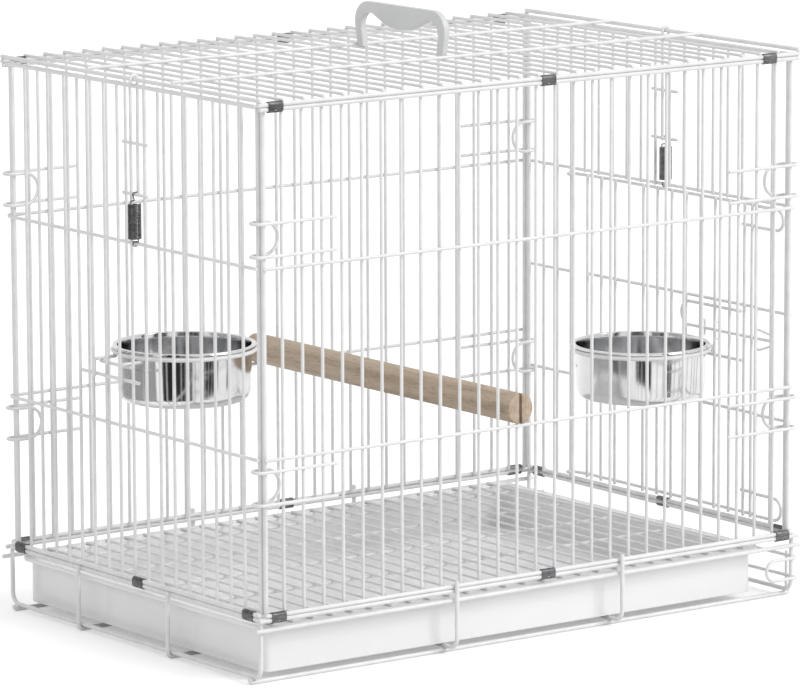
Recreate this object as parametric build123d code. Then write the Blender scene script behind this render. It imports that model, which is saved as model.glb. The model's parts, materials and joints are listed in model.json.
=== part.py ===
from build123d import *
import math
import os

# Collapsible wire bird cage, in mm. X runs along the cage, Y across it, +Z up, ground at Z 0.
# -Y is the front, +X is the end with the side door.

# Driving sizes
PITCH = 17.0
LENGTH = 28 * PITCH
WIDTH = 317.0
SEAM_Z = 48.0
TOP_RAIL_Z = 402.2
CROSS_LEVELS = (158.8, 292.1)
BAR_R = 1.0
CROSS_R = 1.3
RAIL_R = 1.6
POST_R = 1.7
HOOK_R = 1.25
LATCH_R = 1.2
FIT = 0.05

# Places that follow from them
END_X = LENGTH / 2
SIDE_Y = WIDTH / 2
RAIL_OUT = BAR_R + RAIL_R
CROSS_OUT = BAR_R + CROSS_R
RAIL_X = END_X + RAIL_OUT
RAIL_Y = SIDE_Y + RAIL_OUT
BASE_RAIL_Z = SEAM_Z - RAIL_R
PANEL_RAIL_Z = SEAM_Z + RAIL_R
TOP_SEAM_Z = TOP_RAIL_Z + RAIL_R
TOP_FRAME_Z = TOP_SEAM_Z + RAIL_R
TOP_END_Z = TOP_FRAME_Z + 2 * RAIL_R
SIDE_BARS = [PITCH * (i - 14) for i in range(1, 28)]
END_BARS = [PITCH * (k - 8) for k in range(17)]
END_POST_Y = SIDE_Y - 4.5


def unit(v):
    return v * (1 / v.length)


def ring_at(centre, along, side, radius, sides):
    """Corners of a regular section with flats at the given radius."""
    other = unit(along.cross(side))
    reach = radius / math.cos(math.pi / sides)
    angles = [2 * math.pi * (i + 0.5) / sides for i in range(sides)]
    return [centre + side * (reach * math.cos(a)) + other * (reach * math.sin(a)) for a in angles]


def skin(rings, closed):
    """Solid whose skin joins each ring of corners to the next."""
    faces = []
    pairs = list(zip(rings, rings[1:]))
    if closed:
        pairs.append((rings[-1], rings[0]))
    count = len(rings[0])
    for low, high in pairs:
        for i in range(count):
            j = (i + 1) % count
            faces.append(Face(Wire.make_polygon([low[i], low[j], high[j], high[i]])))
    if not closed:
        faces.append(Face(Wire.make_polygon(rings[0])))
        faces.append(Face(Wire.make_polygon(rings[-1])))
    solid = Solid(Shell(faces))
    return solid if solid.volume > 0 else Solid(solid.wrapped.Reversed())


def bent_wire(points, radius, side=None, sides=8):
    """Wire of one section along straight runs, mitred where they meet."""
    spots = [Vector(*p) for p in points]
    runs = [unit(b - a) for a, b in zip(spots, spots[1:])]
    first = runs[0]
    if side is None:
        side = (0, 0, 1) if abs(first.Z) < 0.7 else (1, 0, 0)
    side = Vector(*side)
    side = unit(side - first * side.dot(first))
    ring = ring_at(spots[0], first, side, radius, sides)
    rings = [ring]
    for i, spot in enumerate(spots[1:]):
        along = runs[i]
        last = i + 1 == len(runs)
        normal = along if last else unit(along + runs[i + 1])
        ring = [p + along * ((spot - p).dot(normal) / along.dot(normal)) for p in ring]
        rings.append(ring)
    return skin(rings, False)


def straight(start, end, radius):
    return bent_wire([start, end], radius)


def bar(start, end, radius, flat):
    """Straight wire of six sides, with its flats towards what it is welded to."""
    return bent_wire([start, end], radius, flat, 6)


def round_rail(start, end, radius):
    """Round wire, for a rail that turns in its clips or pins a hinge."""
    a = Vector(*start)
    b = Vector(*end)
    return extrude(Plane(origin=a, z_dir=unit(b - a)) * Circle(radius), amount=(b - a).length).solid()


def lathe(profile, centre, sides):
    """Solid of flat faces from a closed outline of radius and height, turned about Z."""
    rings = []
    for i in range(sides):
        a = 2 * math.pi * i / sides
        rings.append([Vector(centre[0] + r * math.cos(a), centre[1] + r * math.sin(a), z)
                      for r, z in profile])
    return skin(rings, True)


def arc_corners(centre, radius, start, turn, step=30.0):
    """Corners of a run of tangents outside a circle, in the plane of two axes."""
    count = round(abs(turn) / step)
    sign = 1 if turn > 0 else -1
    reach = radius / math.cos(math.radians(step / 2))
    angles = [math.radians(start + sign * step * (i + 0.5)) for i in range(count)]
    return [(centre[0] + reach * math.cos(a), centre[1] + reach * math.sin(a)) for a in angles]


def group(name, solids):
    part = Compound(children=list(solids))
    part.label = name
    return part


# Base

POST_X = RAIL_X
POST_Y = RAIL_Y - 2 * RAIL_R
LOWER_RAIL_Z = 39.5
LOWER_RAIL_END = 247.0
UPPER_RAIL_END = 244.0
GROUND_WIRE_Z = RAIL_R
CROSS_RUN_Z = 3 * RAIL_R
GROUND_WIRE_Y = 150.0
BEND = 8.0
UNDER_U_X = 75.0
UNDER_U_RISE = 6.0
UNDER_J_Y = (-48.5, 65.5)
TIP_START = 2.0
TIP_REACH = 4.2
TIP_BEND = 0.6
TIP_BEND_Z = 2.6
TIP_Z = 4.9


def under_wire(x, half, top, radius):
    """Wire that runs down, under the tray along Y and up again."""
    front = [(-half + BEND + y, CROSS_RUN_Z + BEND + z)
             for y, z in arc_corners((0, 0), BEND, 180, 90)]
    back = [(-y, z) for y, z in reversed(front)]
    path = [(x, -half, top)] + [(x, y, z) for y, z in front + back] + [(x, half, top)]
    return bent_wire(path, radius)


def base_frame():
    """Straight rails of the base: the pairs along the sides and one across each end."""
    wires = []
    inner = RAIL_Y - RAIL_R
    for s in (-1, 1):
        wires.append(round_rail((-UPPER_RAIL_END, s * RAIL_Y, BASE_RAIL_Z),
                                (UPPER_RAIL_END, s * RAIL_Y, BASE_RAIL_Z), RAIL_R))
        wires.append(straight((-LOWER_RAIL_END, s * RAIL_Y, LOWER_RAIL_Z),
                              (LOWER_RAIL_END, s * RAIL_Y, LOWER_RAIL_Z), RAIL_R))
        wires.append(round_rail((s * RAIL_X, -inner, BASE_RAIL_Z), (s * RAIL_X, inner, BASE_RAIL_Z), RAIL_R))
    return group("base_frame", wires)


def base_end_frames():
    """Posts of each end, bent under the tray into one wire."""
    return group("base_end_frames", [under_wire(s * POST_X, POST_Y, BASE_RAIL_Z - RAIL_R, RAIL_R)
                                     for s in (-1, 1)])


def tray_cross_wires():
    """Wires that carry the tray and come up outside both side rails."""
    return group("tray_cross_wires", [under_wire(s * UNDER_U_X, RAIL_Y + 2 * RAIL_R, SEAM_Z + UNDER_U_RISE, RAIL_R)
                                      for s in (-1, 1)])


def tray_runner_wires():
    """Ground wires with turned-up tips, and the two that rise outside the left end."""
    wires = []
    tip = POST_X + TIP_REACH
    bend_x = tip - TIP_BEND
    for y in (-GROUND_WIRE_Y, GROUND_WIRE_Y):
        half = [(POST_X + TIP_START, y, GROUND_WIRE_Z), (bend_x, y, TIP_BEND_Z), (tip, y, TIP_Z)]
        wires.append(bent_wire([(-x, y, z) for x, y, z in reversed(half)] + half, RAIL_R))
    out = POST_X + 2 * RAIL_R
    for y in UNDER_J_Y:
        bend = arc_corners((-POST_X, CROSS_RUN_Z), 2 * RAIL_R, 180, 90, 45)
        path = [(-out, y, SEAM_Z)] + [(x, y, z) for x, z in bend] + [(POST_X + 1.0, y, GROUND_WIRE_Z)]
        wires.append(bent_wire(path, RAIL_R))
    return group("tray_runner_wires", wires)


# Tray, grate and gate

TRAY_LEFT = -237.5
TRAY_RIGHT = 216.0
TRAY_RIM_Y = 155.5
TRAY_BOTTOM = CROSS_RUN_Z + RAIL_R + FIT
TRAY_TOP = 41.0
TRAY_WALL = 1.8
TRAY_RIM = 6.0
TRAY_RIM_DEPTH = 3.6
TRAY_CORNER = 12.0
GRATE_Z = TRAY_TOP + BAR_R + 0.02
GRATE_WIRES = 26
GRATE_END = 0.4
GRATE_START = 1.4
GRATE_CROSS_Y = (-124.0, -62.0, 0.0, 62.0, 124.0)


def tray():
    length = TRAY_RIGHT - TRAY_LEFT
    middle = (TRAY_RIGHT + TRAY_LEFT) / 2

    def slab(inset, low, high):
        sketch = RectangleRounded(length - 2 * inset, 2 * (TRAY_RIM_Y - inset), TRAY_CORNER - inset)
        return extrude(Plane(origin=(middle, 0, low)) * sketch, amount=high - low)

    under_rim = TRAY_TOP - TRAY_RIM_DEPTH
    rim = slab(0, under_rim, TRAY_TOP) - slab(TRAY_WALL, under_rim, TRAY_TOP - TRAY_WALL)
    body = slab(TRAY_RIM, TRAY_BOTTOM, TRAY_TOP) + rim
    body -= slab(TRAY_RIM + TRAY_WALL, TRAY_BOTTOM + TRAY_WALL, TRAY_TOP)
    return group("tray", [body.solid()])


def floor_grate():
    wires = []
    first = TRAY_LEFT + TRAY_RIM + TRAY_WALL + GRATE_START
    for i in range(GRATE_WIRES):
        x = first + i * PITCH
        reach = TRAY_RIM_Y - GRATE_END
        wires.append(bar((x, -reach, GRATE_Z), (x, reach, GRATE_Z), BAR_R, (0, 0, 1)))
    last = first + (GRATE_WIRES - 1) * PITCH
    low_z = GRATE_Z - 2 * BAR_R
    for y in GRATE_CROSS_Y:
        wires.append(bar((first - BAR_R, y, low_z), (last + BAR_R, y, low_z), BAR_R, (0, 0, 1)))
    return group("floor_grate", wires)


GATE_LEVELS = (14.4, 29.6)
GATE_CURL = RAIL_R + CROSS_R + 0.2
GATE_X = POST_X + GATE_CURL
GATE_RETURN_X = 222.0
GATE_UPRIGHTS = (-146.5, 0.0, 146.5)
GATE_UPRIGHT_LOW = 3.6
GATE_UPRIGHT_HIGH = 32.3


def gate_run(z):
    """Plan points of one gate wire from its hinge curl to its return in front."""
    curl = [(POST_X + x, POST_Y + y) for x, y in arc_corners((0, 0), GATE_CURL, 240, -240)]
    corner = [(POST_X + x, -POST_Y + y) for x, y in arc_corners((0, 0), GATE_CURL, 0, -90)]
    end = (POST_X + GATE_CURL * math.cos(math.radians(240)), POST_Y + GATE_CURL * math.sin(math.radians(240)))
    return [(x, y, z) for x, y in [end] + curl + corner]


def tray_gate():
    low, high = GATE_LEVELS
    reach = (high - low) / 2
    y = -POST_Y - GATE_CURL
    loop = [(x, y, z) for x, z in arc_corners((GATE_RETURN_X, (low + high) / 2), reach, 90, 180)]
    path = gate_run(high) + loop + list(reversed(gate_run(low)))
    wires = [bent_wire(path, CROSS_R)]
    x = GATE_X + CROSS_R + BAR_R
    for upright in GATE_UPRIGHTS:
        wires.append(bar((x, upright, GATE_UPRIGHT_LOW), (x, upright, GATE_UPRIGHT_HIGH), BAR_R, (1, 0, 0)))
    return group("tray_gate", wires)


# Panels

SIDE_POST_X = END_X - 2.0
SIDE_POST_Y = SIDE_Y + BAR_R - POST_R
END_POST_X = END_X + BAR_R - POST_R
BAR_LOW = 49.2
OVERRUN = 1.4
SIDE_TOP = TOP_RAIL_Z + OVERRUN
END_TOP_RAIL_Z = 404.0
END_TOP = END_TOP_RAIL_Z + OVERRUN
END_WIRE_REACH = END_POST_Y + POST_R + 0.5


def side_panel(name, s):
    """Front panel for s = -1, back panel for s = 1."""
    wires = []
    for x in SIDE_BARS:
        wires.append(bar((x, s * SIDE_Y, BAR_LOW), (x, s * SIDE_Y, SIDE_TOP), BAR_R, (0, 1, 0)))
    for x in (-SIDE_POST_X, SIDE_POST_X):
        wires.append(straight((x, s * SIDE_POST_Y, BAR_LOW), (x, s * SIDE_POST_Y, SIDE_TOP), POST_R))
    for z in CROSS_LEVELS:
        reach = SIDE_POST_X + POST_R + 0.5
        y = s * (SIDE_Y + CROSS_OUT)
        wires.append(straight((-reach, y, z), (reach, y, z), CROSS_R))
    for z, reach in ((PANEL_RAIL_Z, END_X + 0.5), (TOP_RAIL_Z, END_X + 3.0)):
        wires.append(round_rail((-reach, s * RAIL_Y, z), (reach, s * RAIL_Y, z), RAIL_R))
    return group(name, wires)


def end_frame(s, bars):
    """Posts, rails and full bars of an end panel, s = -1 left or 1 right."""
    wires = []
    for y in bars:
        wires.append(bar((s * END_X, y, BAR_LOW), (s * END_X, y, END_TOP), BAR_R, (1, 0, 0)))
    for y in (-END_POST_Y, END_POST_Y):
        wires.append(straight((s * END_POST_X, y, BAR_LOW), (s * END_POST_X, y, END_TOP), POST_R))
    reach = END_WIRE_REACH + 1.0
    wires.append(round_rail((s * RAIL_X, -reach, PANEL_RAIL_Z), (s * RAIL_X, reach, PANEL_RAIL_Z), RAIL_R))
    wires.append(straight((s * RAIL_X, -END_WIRE_REACH, END_TOP_RAIL_Z),
                          (s * RAIL_X, END_WIRE_REACH, END_TOP_RAIL_Z), RAIL_R))
    return wires


def left_end_panel():
    wires = end_frame(-1, END_BARS)
    for z in CROSS_LEVELS:
        x = -END_X - CROSS_OUT
        wires.append(straight((x, -END_WIRE_REACH, z), (x, END_WIRE_REACH, z), CROSS_R))
    return group("left_end_panel", wires)


DOOR_LEVELS = (131.1, 211.4)
HINGE_BAR = END_BARS[14]
NEAR_BARS = END_BARS[:2]
FAR_BARS = END_BARS[15:]


def right_end_panel():
    wires = end_frame(1, NEAR_BARS + FAR_BARS)
    wires.append(round_rail((END_X, HINGE_BAR, BAR_LOW), (END_X, HINGE_BAR, END_TOP), BAR_R))
    x = END_X + CROSS_OUT
    head = CROSS_LEVELS[1]
    wires.append(straight((x, -END_WIRE_REACH, head), (x, END_WIRE_REACH, head), CROSS_R))
    for y in END_BARS[2:14]:
        wires.append(bar((END_X, y, head - CROSS_R), (END_X, y, END_TOP), BAR_R, (1, 0, 0)))
    for z in DOOR_LEVELS:
        wires.append(straight((x, -END_WIRE_REACH, z), (x, NEAR_BARS[1] + 1.5, z), CROSS_R))
        wires.append(straight((x, HINGE_BAR - 1.5, z), (x, END_WIRE_REACH, z), CROSS_R))
    return group("right_end_panel", wires)


TOP_CROSS_Y = 52.8


def top_panel():
    wires = []
    bar_z = TOP_FRAME_Z + RAIL_R + BAR_R
    for x in SIDE_BARS:
        wires.append(bar((x, -RAIL_Y - 1.2, bar_z), (x, RAIL_Y + 1.2, bar_z), BAR_R, (0, 0, 1)))
    for s in (-1, 1):
        reach = RAIL_X + RAIL_R
        wires.append(round_rail((-reach, s * RAIL_Y, TOP_FRAME_Z), (reach, s * RAIL_Y, TOP_FRAME_Z), RAIL_R))
        reach = RAIL_Y + RAIL_R
        wires.append(round_rail((s * RAIL_X, -reach, TOP_END_Z), (s * RAIL_X, reach, TOP_END_Z), RAIL_R))
        reach = RAIL_X - RAIL_R
        z = bar_z + BAR_R + CROSS_R
        wires.append(straight((-reach, s * TOP_CROSS_Y, z), (reach, s * TOP_CROSS_Y, z), CROSS_R))
    return group("top_panel", wires)


# Corner hooks: one wire each, outside the side panel, round the end post and back inside

HOOK_LEVELS = ((127.5, 150.5), (300.5, 323.5))
HOOK_LEG = 62.0
HOOK_TURN = 5.3
HOOK_TURN_X = END_X + 0.3
HOOK_INSIDE = END_X - 8.0


def corner_hook(sx, sy, low, high):
    leg_y = SIDE_Y + BAR_R + HOOK_R
    inner_y = leg_y - 2 * HOOK_TURN
    centre_y = leg_y - HOOK_TURN
    turn = arc_corners((HOOK_TURN_X, centre_y), HOOK_TURN, 90, -180, 45)
    upper = [(END_X - HOOK_LEG, leg_y, high)] + [(x, y, high) for x, y in turn]
    reach = (high - low) / 2
    loop = [(x, inner_y, z) for x, z in arc_corners((HOOK_INSIDE, (low + high) / 2), reach, 90, 180, 45)]
    lower = [(x, y, low) for x, y, z in reversed(upper)]
    return bent_wire([(sx * x, sy * y, z) for x, y, z in upper + loop + lower], HOOK_R, (0, 1, 0), 6)


def corner_hooks(name, sy):
    return group(name, [corner_hook(sx, sy, low, high) for sx in (-1, 1) for low, high in HOOK_LEVELS])


# Spring-steel clips round two stacked rails

CLIP_LENGTH = 12.0
CLIP_THICK = 0.7
CORNER_GAP = (END_X - SIDE_POST_X + POST_R + PITCH - BAR_R) / 2
SIDE_CLIPS_LOW = (-END_X + CORNER_GAP, 8.5, END_X - CORNER_GAP)
SIDE_CLIPS_HIGH = (-END_X + CORNER_GAP, 8.5, 212.5)
END_CLIPS = (-144.6, -8.5, 144.6)


def clip_outline():
    """Closed outline of a C of constant thickness, open towards -u."""
    inner = RAIL_R + FIT
    outer = inner + CLIP_THICK

    def half(radius, sign):
        corners = [(u, RAIL_R + w) for u, w in arc_corners((0, 0), radius, 0, 180, 45)]
        return [(u, sign * w) for u, w in corners + [(-radius, RAIL_R - 0.3)]]

    inside = list(reversed(half(inner, 1))) + half(inner, -1)
    outside = list(reversed(half(outer, -1))) + half(outer, 1)
    return inside + outside


def clip(centre, seam, along_x, s):
    """Clip about a seam; it opens inward from side s."""
    rings = []
    for end in (-CLIP_LENGTH / 2, CLIP_LENGTH / 2):
        ring = []
        for u, w in clip_outline():
            if along_x:
                ring.append(Vector(centre + end, s * (RAIL_Y + u), seam + w))
            else:
                ring.append(Vector(s * (RAIL_X + u), centre + end, seam + w))
        rings.append(ring)
    return skin(rings, False)


def clip_group(name, centres, seam, along_x, s):
    return group(name, [clip(c, seam, along_x, s) for c in centres])


# Sprung latches that hook an end panel to the top panel

LATCH_Y = -8.5
LATCH_HOOK_R = 3.0
RUNG_X = END_X + BAR_R + 0.1 + LATCH_R
RUNG_LEVELS = (327.0, 363.3)
RUNG_HALF = 15.5
ROD_X = RUNG_X - 2 * LATCH_R
ROD_TOP_X = RAIL_X - LATCH_HOOK_R


def latch(name, s):
    arc = arc_corners((RAIL_X, TOP_END_Z), LATCH_HOOK_R, 180, -180)
    path = [(ROD_X, RUNG_LEVELS[0] - LATCH_R), (ROD_X, 385.0), (ROD_TOP_X, 393.0)] + arc
    path.append((RAIL_X + LATCH_HOOK_R, TOP_END_Z - 3.4))
    rod = bent_wire([(s * x, LATCH_Y, z) for x, z in path], LATCH_R)
    rungs = [straight((s * RUNG_X, LATCH_Y - RUNG_HALF, z), (s * RUNG_X, LATCH_Y + RUNG_HALF, z), LATCH_R)
             for z in RUNG_LEVELS]
    return group(name, [rod] + rungs)


SPRING_R = 3.2
SPRING_WIRE_R = 0.7
SPRING_TURNS = 8
SPRING_SIDES = 4
SPRING_EASE = 2.0
SPRING_LOW = CROSS_LEVELS[1] + CROSS_R
SPRING_HIGH = RUNG_LEVELS[0] - LATCH_R


def biarc(start, start_dir, end, end_dir):
    """Two arcs that join two points with the given directions."""
    gap = end - start
    both = start_dir + end_dir
    a = 4 - both.dot(both)
    b = gap.dot(both)
    reach = (-b + math.sqrt(b * b + a * gap.dot(gap))) / a
    first = start + start_dir * reach
    second = end - end_dir * reach
    middle = (first + second) * 0.5
    middle_dir = unit(second - first)
    return [Edge.make_tangent_arc(start, start_dir, middle), Edge.make_tangent_arc(middle, middle_dir, end)]


def latch_spring(name, s):
    """Wound spring with straight ends square to the rung and to the cross wire."""
    stub = 2 * SPRING_WIRE_R
    span = SPRING_HIGH - SPRING_LOW - 2 * stub
    slope = math.atan2((span - 2 * SPRING_EASE) / SPRING_TURNS, 2 * math.pi * SPRING_R)
    over = SPRING_EASE * (1 - math.sin(slope))
    rise = SPRING_EASE * math.cos(slope)
    last = math.atan2(SPRING_R, over) + 2 * math.pi * SPRING_TURNS
    first = -math.atan2(SPRING_R, over)
    low = SPRING_LOW + stub + rise
    high = SPRING_HIGH - stub - rise
    pitch = (high - low) / (last - first)
    axis = Vector(s * RUNG_X, LATCH_Y, 0)

    def spot(a):
        z = low + pitch * (a - first)
        return axis + Vector(SPRING_R * math.cos(a), SPRING_R * math.sin(a), z)

    def heading(a):
        return unit(Vector(-SPRING_R * math.sin(a), SPRING_R * math.cos(a), pitch))

    halves = 2 * SPRING_TURNS + 1
    turns = [first + (last - first) * i / halves for i in range(halves + 1)]
    start = spot(first)
    end = spot(last)
    foot = start - unit(Vector(-math.sin(first), math.cos(first), 0)) * over - Vector(0, 0, rise)
    head = end + unit(Vector(-math.sin(last), math.cos(last), 0)) * over + Vector(0, 0, rise)
    up = Vector(0, 0, 1)
    edges = [Edge.make_line(foot - up * stub, foot), Edge.make_tangent_arc(foot, up, start)]
    for a, b in zip(turns, turns[1:]):
        edges += biarc(spot(a), heading(a), spot(b), heading(b))
    edges.append(Edge.make_tangent_arc(end, heading(last), head))
    edges.append(Edge.make_line(head, head + up * stub))
    path = Wire(edges)
    section = Plane(origin=foot - up * stub, z_dir=up) * RegularPolygon(SPRING_WIRE_R, SPRING_SIDES, major_radius=False)
    coil = sweep(section, path=path).solid()
    samples = [spot(first + (last - first) * i / 360) for i in range(361)]
    gap = min((p - q).length for i, p in enumerate(samples) for q in samples[i + 24:]) - 2 * SPRING_WIRE_R
    print(name, "least gap to itself", round(gap, 2), "mm")
    return group(name, [coil])


# Side door, its bolt and keeper

DOOR_BAR_X = END_X + 2.7
DOOR_WIRE_X = DOOR_BAR_X + BAR_R + CROSS_R
DOOR_LOW = 54.5
DOOR_HIGH = 287.8
DOOR_BAR_DROP = 2.4
DOOR_EDGE_Y = -110.5
DOOR_BARS = END_BARS[2:14] + [DOOR_EDGE_Y]
HINGE_CURL = BAR_R + CROSS_R + 0.08
STOP_X = END_X + BAR_R + CROSS_R + 0.02
STOP_END_Y = -146.5
STOP_LEG_Y = -96.5


def door_run(z):
    """Plan of a door wire from its hinge curl past the edge bar to its stop."""
    start = (DOOR_WIRE_X - END_X, END_BARS[13] + 1.0 - HINGE_BAR)
    far = math.hypot(*start)
    touch = math.degrees(math.atan2(start[1], start[0]) + math.acos(HINGE_CURL / far))
    curl = arc_corners((END_X, HINGE_BAR), HINGE_CURL, touch + 240, -240)
    a = math.radians(touch + 240)
    end = (END_X + HINGE_CURL * math.cos(a), HINGE_BAR + HINGE_CURL * math.sin(a))
    plan = [end] + curl + [(DOOR_WIRE_X, END_BARS[13] + 1.0), (DOOR_WIRE_X, DOOR_EDGE_Y - 1.5),
                           (STOP_X, NEAR_BARS[1] + 1.8)]
    return [(x, y, z) for x, y in plan]


def door_rail(level, leg_level):
    """Top or bottom wire of the door with its rounded stop and return leg."""
    reach = abs(level - leg_level) / 2
    turn = arc_corners((STOP_END_Y + reach, (level + leg_level) / 2), reach, 90, 180)
    if leg_level > level:
        turn = list(reversed(turn))
    path = door_run(level) + [(STOP_X, y, z) for y, z in turn]
    path += [(STOP_X, NEAR_BARS[1] + 1.8, leg_level), (DOOR_WIRE_X, DOOR_EDGE_Y - 1.5, leg_level),
             (DOOR_WIRE_X, STOP_LEG_Y, leg_level)]
    return bent_wire(path, CROSS_R)


def side_door():
    wires = []
    for y in DOOR_BARS:
        wires.append(bar((DOOR_BAR_X, y, DOOR_LOW - DOOR_BAR_DROP),
                         (DOOR_BAR_X, y, DOOR_HIGH + 1.2), BAR_R, (1, 0, 0)))
    wires.append(door_rail(DOOR_HIGH, DOOR_HIGH - 15.8))
    wires.append(door_rail(DOOR_LOW, DOOR_LOW + 16.5))
    for z in DOOR_LEVELS:
        wires.append(straight((DOOR_WIRE_X, DOOR_EDGE_Y - 1.5, z), (DOOR_WIRE_X, END_BARS[13] + 1.5, z), CROSS_R))
    return group("side_door", wires)


BOLT_Z = 188.0
BOLT_X = DOOR_BAR_X + BAR_R + HOOK_R + 0.1
BOLT_TIP_Y = -131.5
BOLT_TOP_Z = BOLT_Z + 18.0
STAPLE_R = 0.9
STAPLE_X = BOLT_X + HOOK_R + 0.1 + STAPLE_R


def door_bolt():
    loop = [(-32.5, 0.0), (-27.8, 3.2), (-26.2, 9.0), (-27.8, 14.8), (-32.5, 18.0)]
    path = [(BOLT_X, BOLT_TIP_Y, BOLT_Z)] + [(BOLT_X, y, BOLT_Z + z) for y, z in loop]
    path.append((BOLT_X, -96.5, BOLT_TOP_Z))
    return group("door_bolt", [bent_wire(path, HOOK_R)])


def door_bolt_guides():
    solids = []
    for y in (END_BARS[4], END_BARS[5]):
        foot = DOOR_BAR_X + BAR_R
        solids.append(bent_wire([(foot, y, BOLT_Z + 6.5), (STAPLE_X, y, BOLT_Z + 6.5),
                                 (STAPLE_X, y, BOLT_Z - 6.5), (foot, y, BOLT_Z - 6.5)], STAPLE_R))
    return group("door_bolt_guides", solids)


def door_bolt_keeper():
    bar = NEAR_BARS[1]
    near_x = END_X + BAR_R + STAPLE_R
    far_x = BOLT_X + HOOK_R + STAPLE_R + 0.2
    path = [(near_x, bar + 1.4, 7.5), (near_x, bar - 2.0, 7.5), (far_x, bar - 9.5, 3.2), (far_x, bar - 12.0, 0),
            (far_x, bar - 9.5, -3.2), (near_x, bar - 2.0, -7.5), (near_x, bar + 1.4, -7.5)]
    return group("door_bolt_keeper", [bent_wire([(x, y, BOLT_Z + z) for x, y, z in path], STAPLE_R)])


# Bowls and their holders

BOWL_SIDES = 24
BOWL_FLOOR_R = 41.0
BOWL_SHEET = 0.9
BOWL_DEPTH = 38.6
RING_R = 51.5
RING_WIRE_R = 1.5
FOOD_CENTRE = (-176.5, 25.5)
FOOD_RING_Z = 205.9
WATER_CENTRE = (183.0, -51.0)
WATER_RING_Z = 178.9


def bowl(name, centre, ring_z):
    seat = ring_z + RING_WIRE_R + 0.05
    floor = seat - BOWL_DEPTH
    outline = [(BOWL_FLOOR_R, floor), (45.6, floor + 2.2), (48.0, floor + 7.0), (49.0, seat - 0.4),
               (49.4, seat), (51.6, seat + 0.2), (52.0, seat + 1.4), (51.2, seat + 2.5), (49.4, seat + 2.5),
               (48.2, seat + 1.4), (48.1, seat - 2.0), (47.1, floor + 7.2), (44.9, floor + 3.0),
               (BOWL_FLOOR_R, floor + BOWL_SHEET)]
    shell = lathe(outline, centre, BOWL_SIDES)
    floor_plate = Plane(origin=(centre[0], centre[1], floor)) * RegularPolygon(BOWL_FLOOR_R, BOWL_SIDES)
    whole = shell + extrude(floor_plate, amount=BOWL_SHEET)
    return group(name, [whole.solid()])


def holder_ring(centre, z):
    flats = [(RING_R + RING_WIRE_R * math.cos(a) / math.cos(math.pi / 6),
              z + RING_WIRE_R * math.sin(a) / math.cos(math.pi / 6))
             for a in [math.pi * i / 3 for i in range(6)]]
    return lathe(flats, centre, BOWL_SIDES)


def bowl_holder(name, centre, ring_z, s, bar_x, arm_offset, rail_span, rail_drop):
    """Ring with two arms through the bars and a rail on each side of them."""
    arm_z = ring_z - RING_WIRE_R - CROSS_R
    outer_x = bar_x + BAR_R + CROSS_R + 0.02
    inner_x = bar_x - BAR_R - CROSS_R - 0.02
    down_x = outer_x + 2 * CROSS_R
    rail_z = ring_z - rail_drop
    wires = [holder_ring(centre, ring_z)]
    for offset in (-arm_offset, arm_offset):
        y = centre[1] + offset
        start = abs(centre[0]) + math.sqrt(RING_R ** 2 - offset ** 2) - 1.0
        wires.append(bent_wire([(s * start, y, arm_z), (s * down_x, y, arm_z), (s * down_x, y, rail_z - 2.0)],
                               CROSS_R))
    low, high = rail_span
    wires.append(straight((s * outer_x, low, rail_z), (s * outer_x, high, rail_z), CROSS_R))
    half = arm_offset + 3.0
    inner_z = arm_z - 2 * CROSS_R
    wires.append(straight((s * inner_x, centre[1] - half, inner_z), (s * inner_x, centre[1] + half, inner_z),
                          CROSS_R))
    return group(name, wires)


# Perch and handle

PERCH_R = 11.0
PERCH_X = -PITCH
PERCH_Z = CROSS_LEVELS[0] + CROSS_R + PERCH_R
PERCH_HALF = SIDE_Y + 4.4
PERCH_SLOT = 2.4


def perch():
    dowel = Plane(origin=(PERCH_X, -PERCH_HALF, PERCH_Z), z_dir=(0, 1, 0)) * Circle(PERCH_R)
    body = extrude(dowel, amount=2 * PERCH_HALF)
    depth = PERCH_HALF - SIDE_Y + 1.5
    for s in (-1, 1):
        slot = Box(PERCH_SLOT, 2 * depth, 3 * PERCH_R)
        body -= Pos(PERCH_X, s * PERCH_HALF, PERCH_Z) * slot
    return group("perch", [body.solid()])


HANDLE_THICK = 4.8
HANDLE_TOP = 443.0
HANDLE_GRIP_LOW = 425.3
HANDLE_FOOT_Y = TOP_CROSS_Y - CROSS_R - 0.4
HANDLE_FOOT_WIDE = 6.9
HANDLE_JAW = (6.4, 2.4)
TOP_WIRE_Z = TOP_FRAME_Z + RAIL_R + 2 * BAR_R + CROSS_R


def handle():
    foot = TOP_WIRE_Z - CROSS_R + FIT
    half = [(HANDLE_FOOT_Y, foot), (54.2, 425.0), (51.5, 435.0), (44.5, 441.2), (36.0, HANDLE_TOP - 0.2)]
    inner = [(0, HANDLE_GRIP_LOW), (11.0, 426.2), (22.0, 430.2), (31.0, 434.0), (38.0, 434.4), (43.6, 431.0),
             (46.6, 424.0), (HANDLE_FOOT_Y - HANDLE_FOOT_WIDE, foot)]
    outside = Spline(half + [(18.0, HANDLE_TOP), (0, HANDLE_TOP - 0.4)],
                     tangents=[(0.08, 1), (-1, 0)])
    inside = Spline(inner, tangents=[(1, 0), (0.05, -1)])
    return outside, inside, foot


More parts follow.
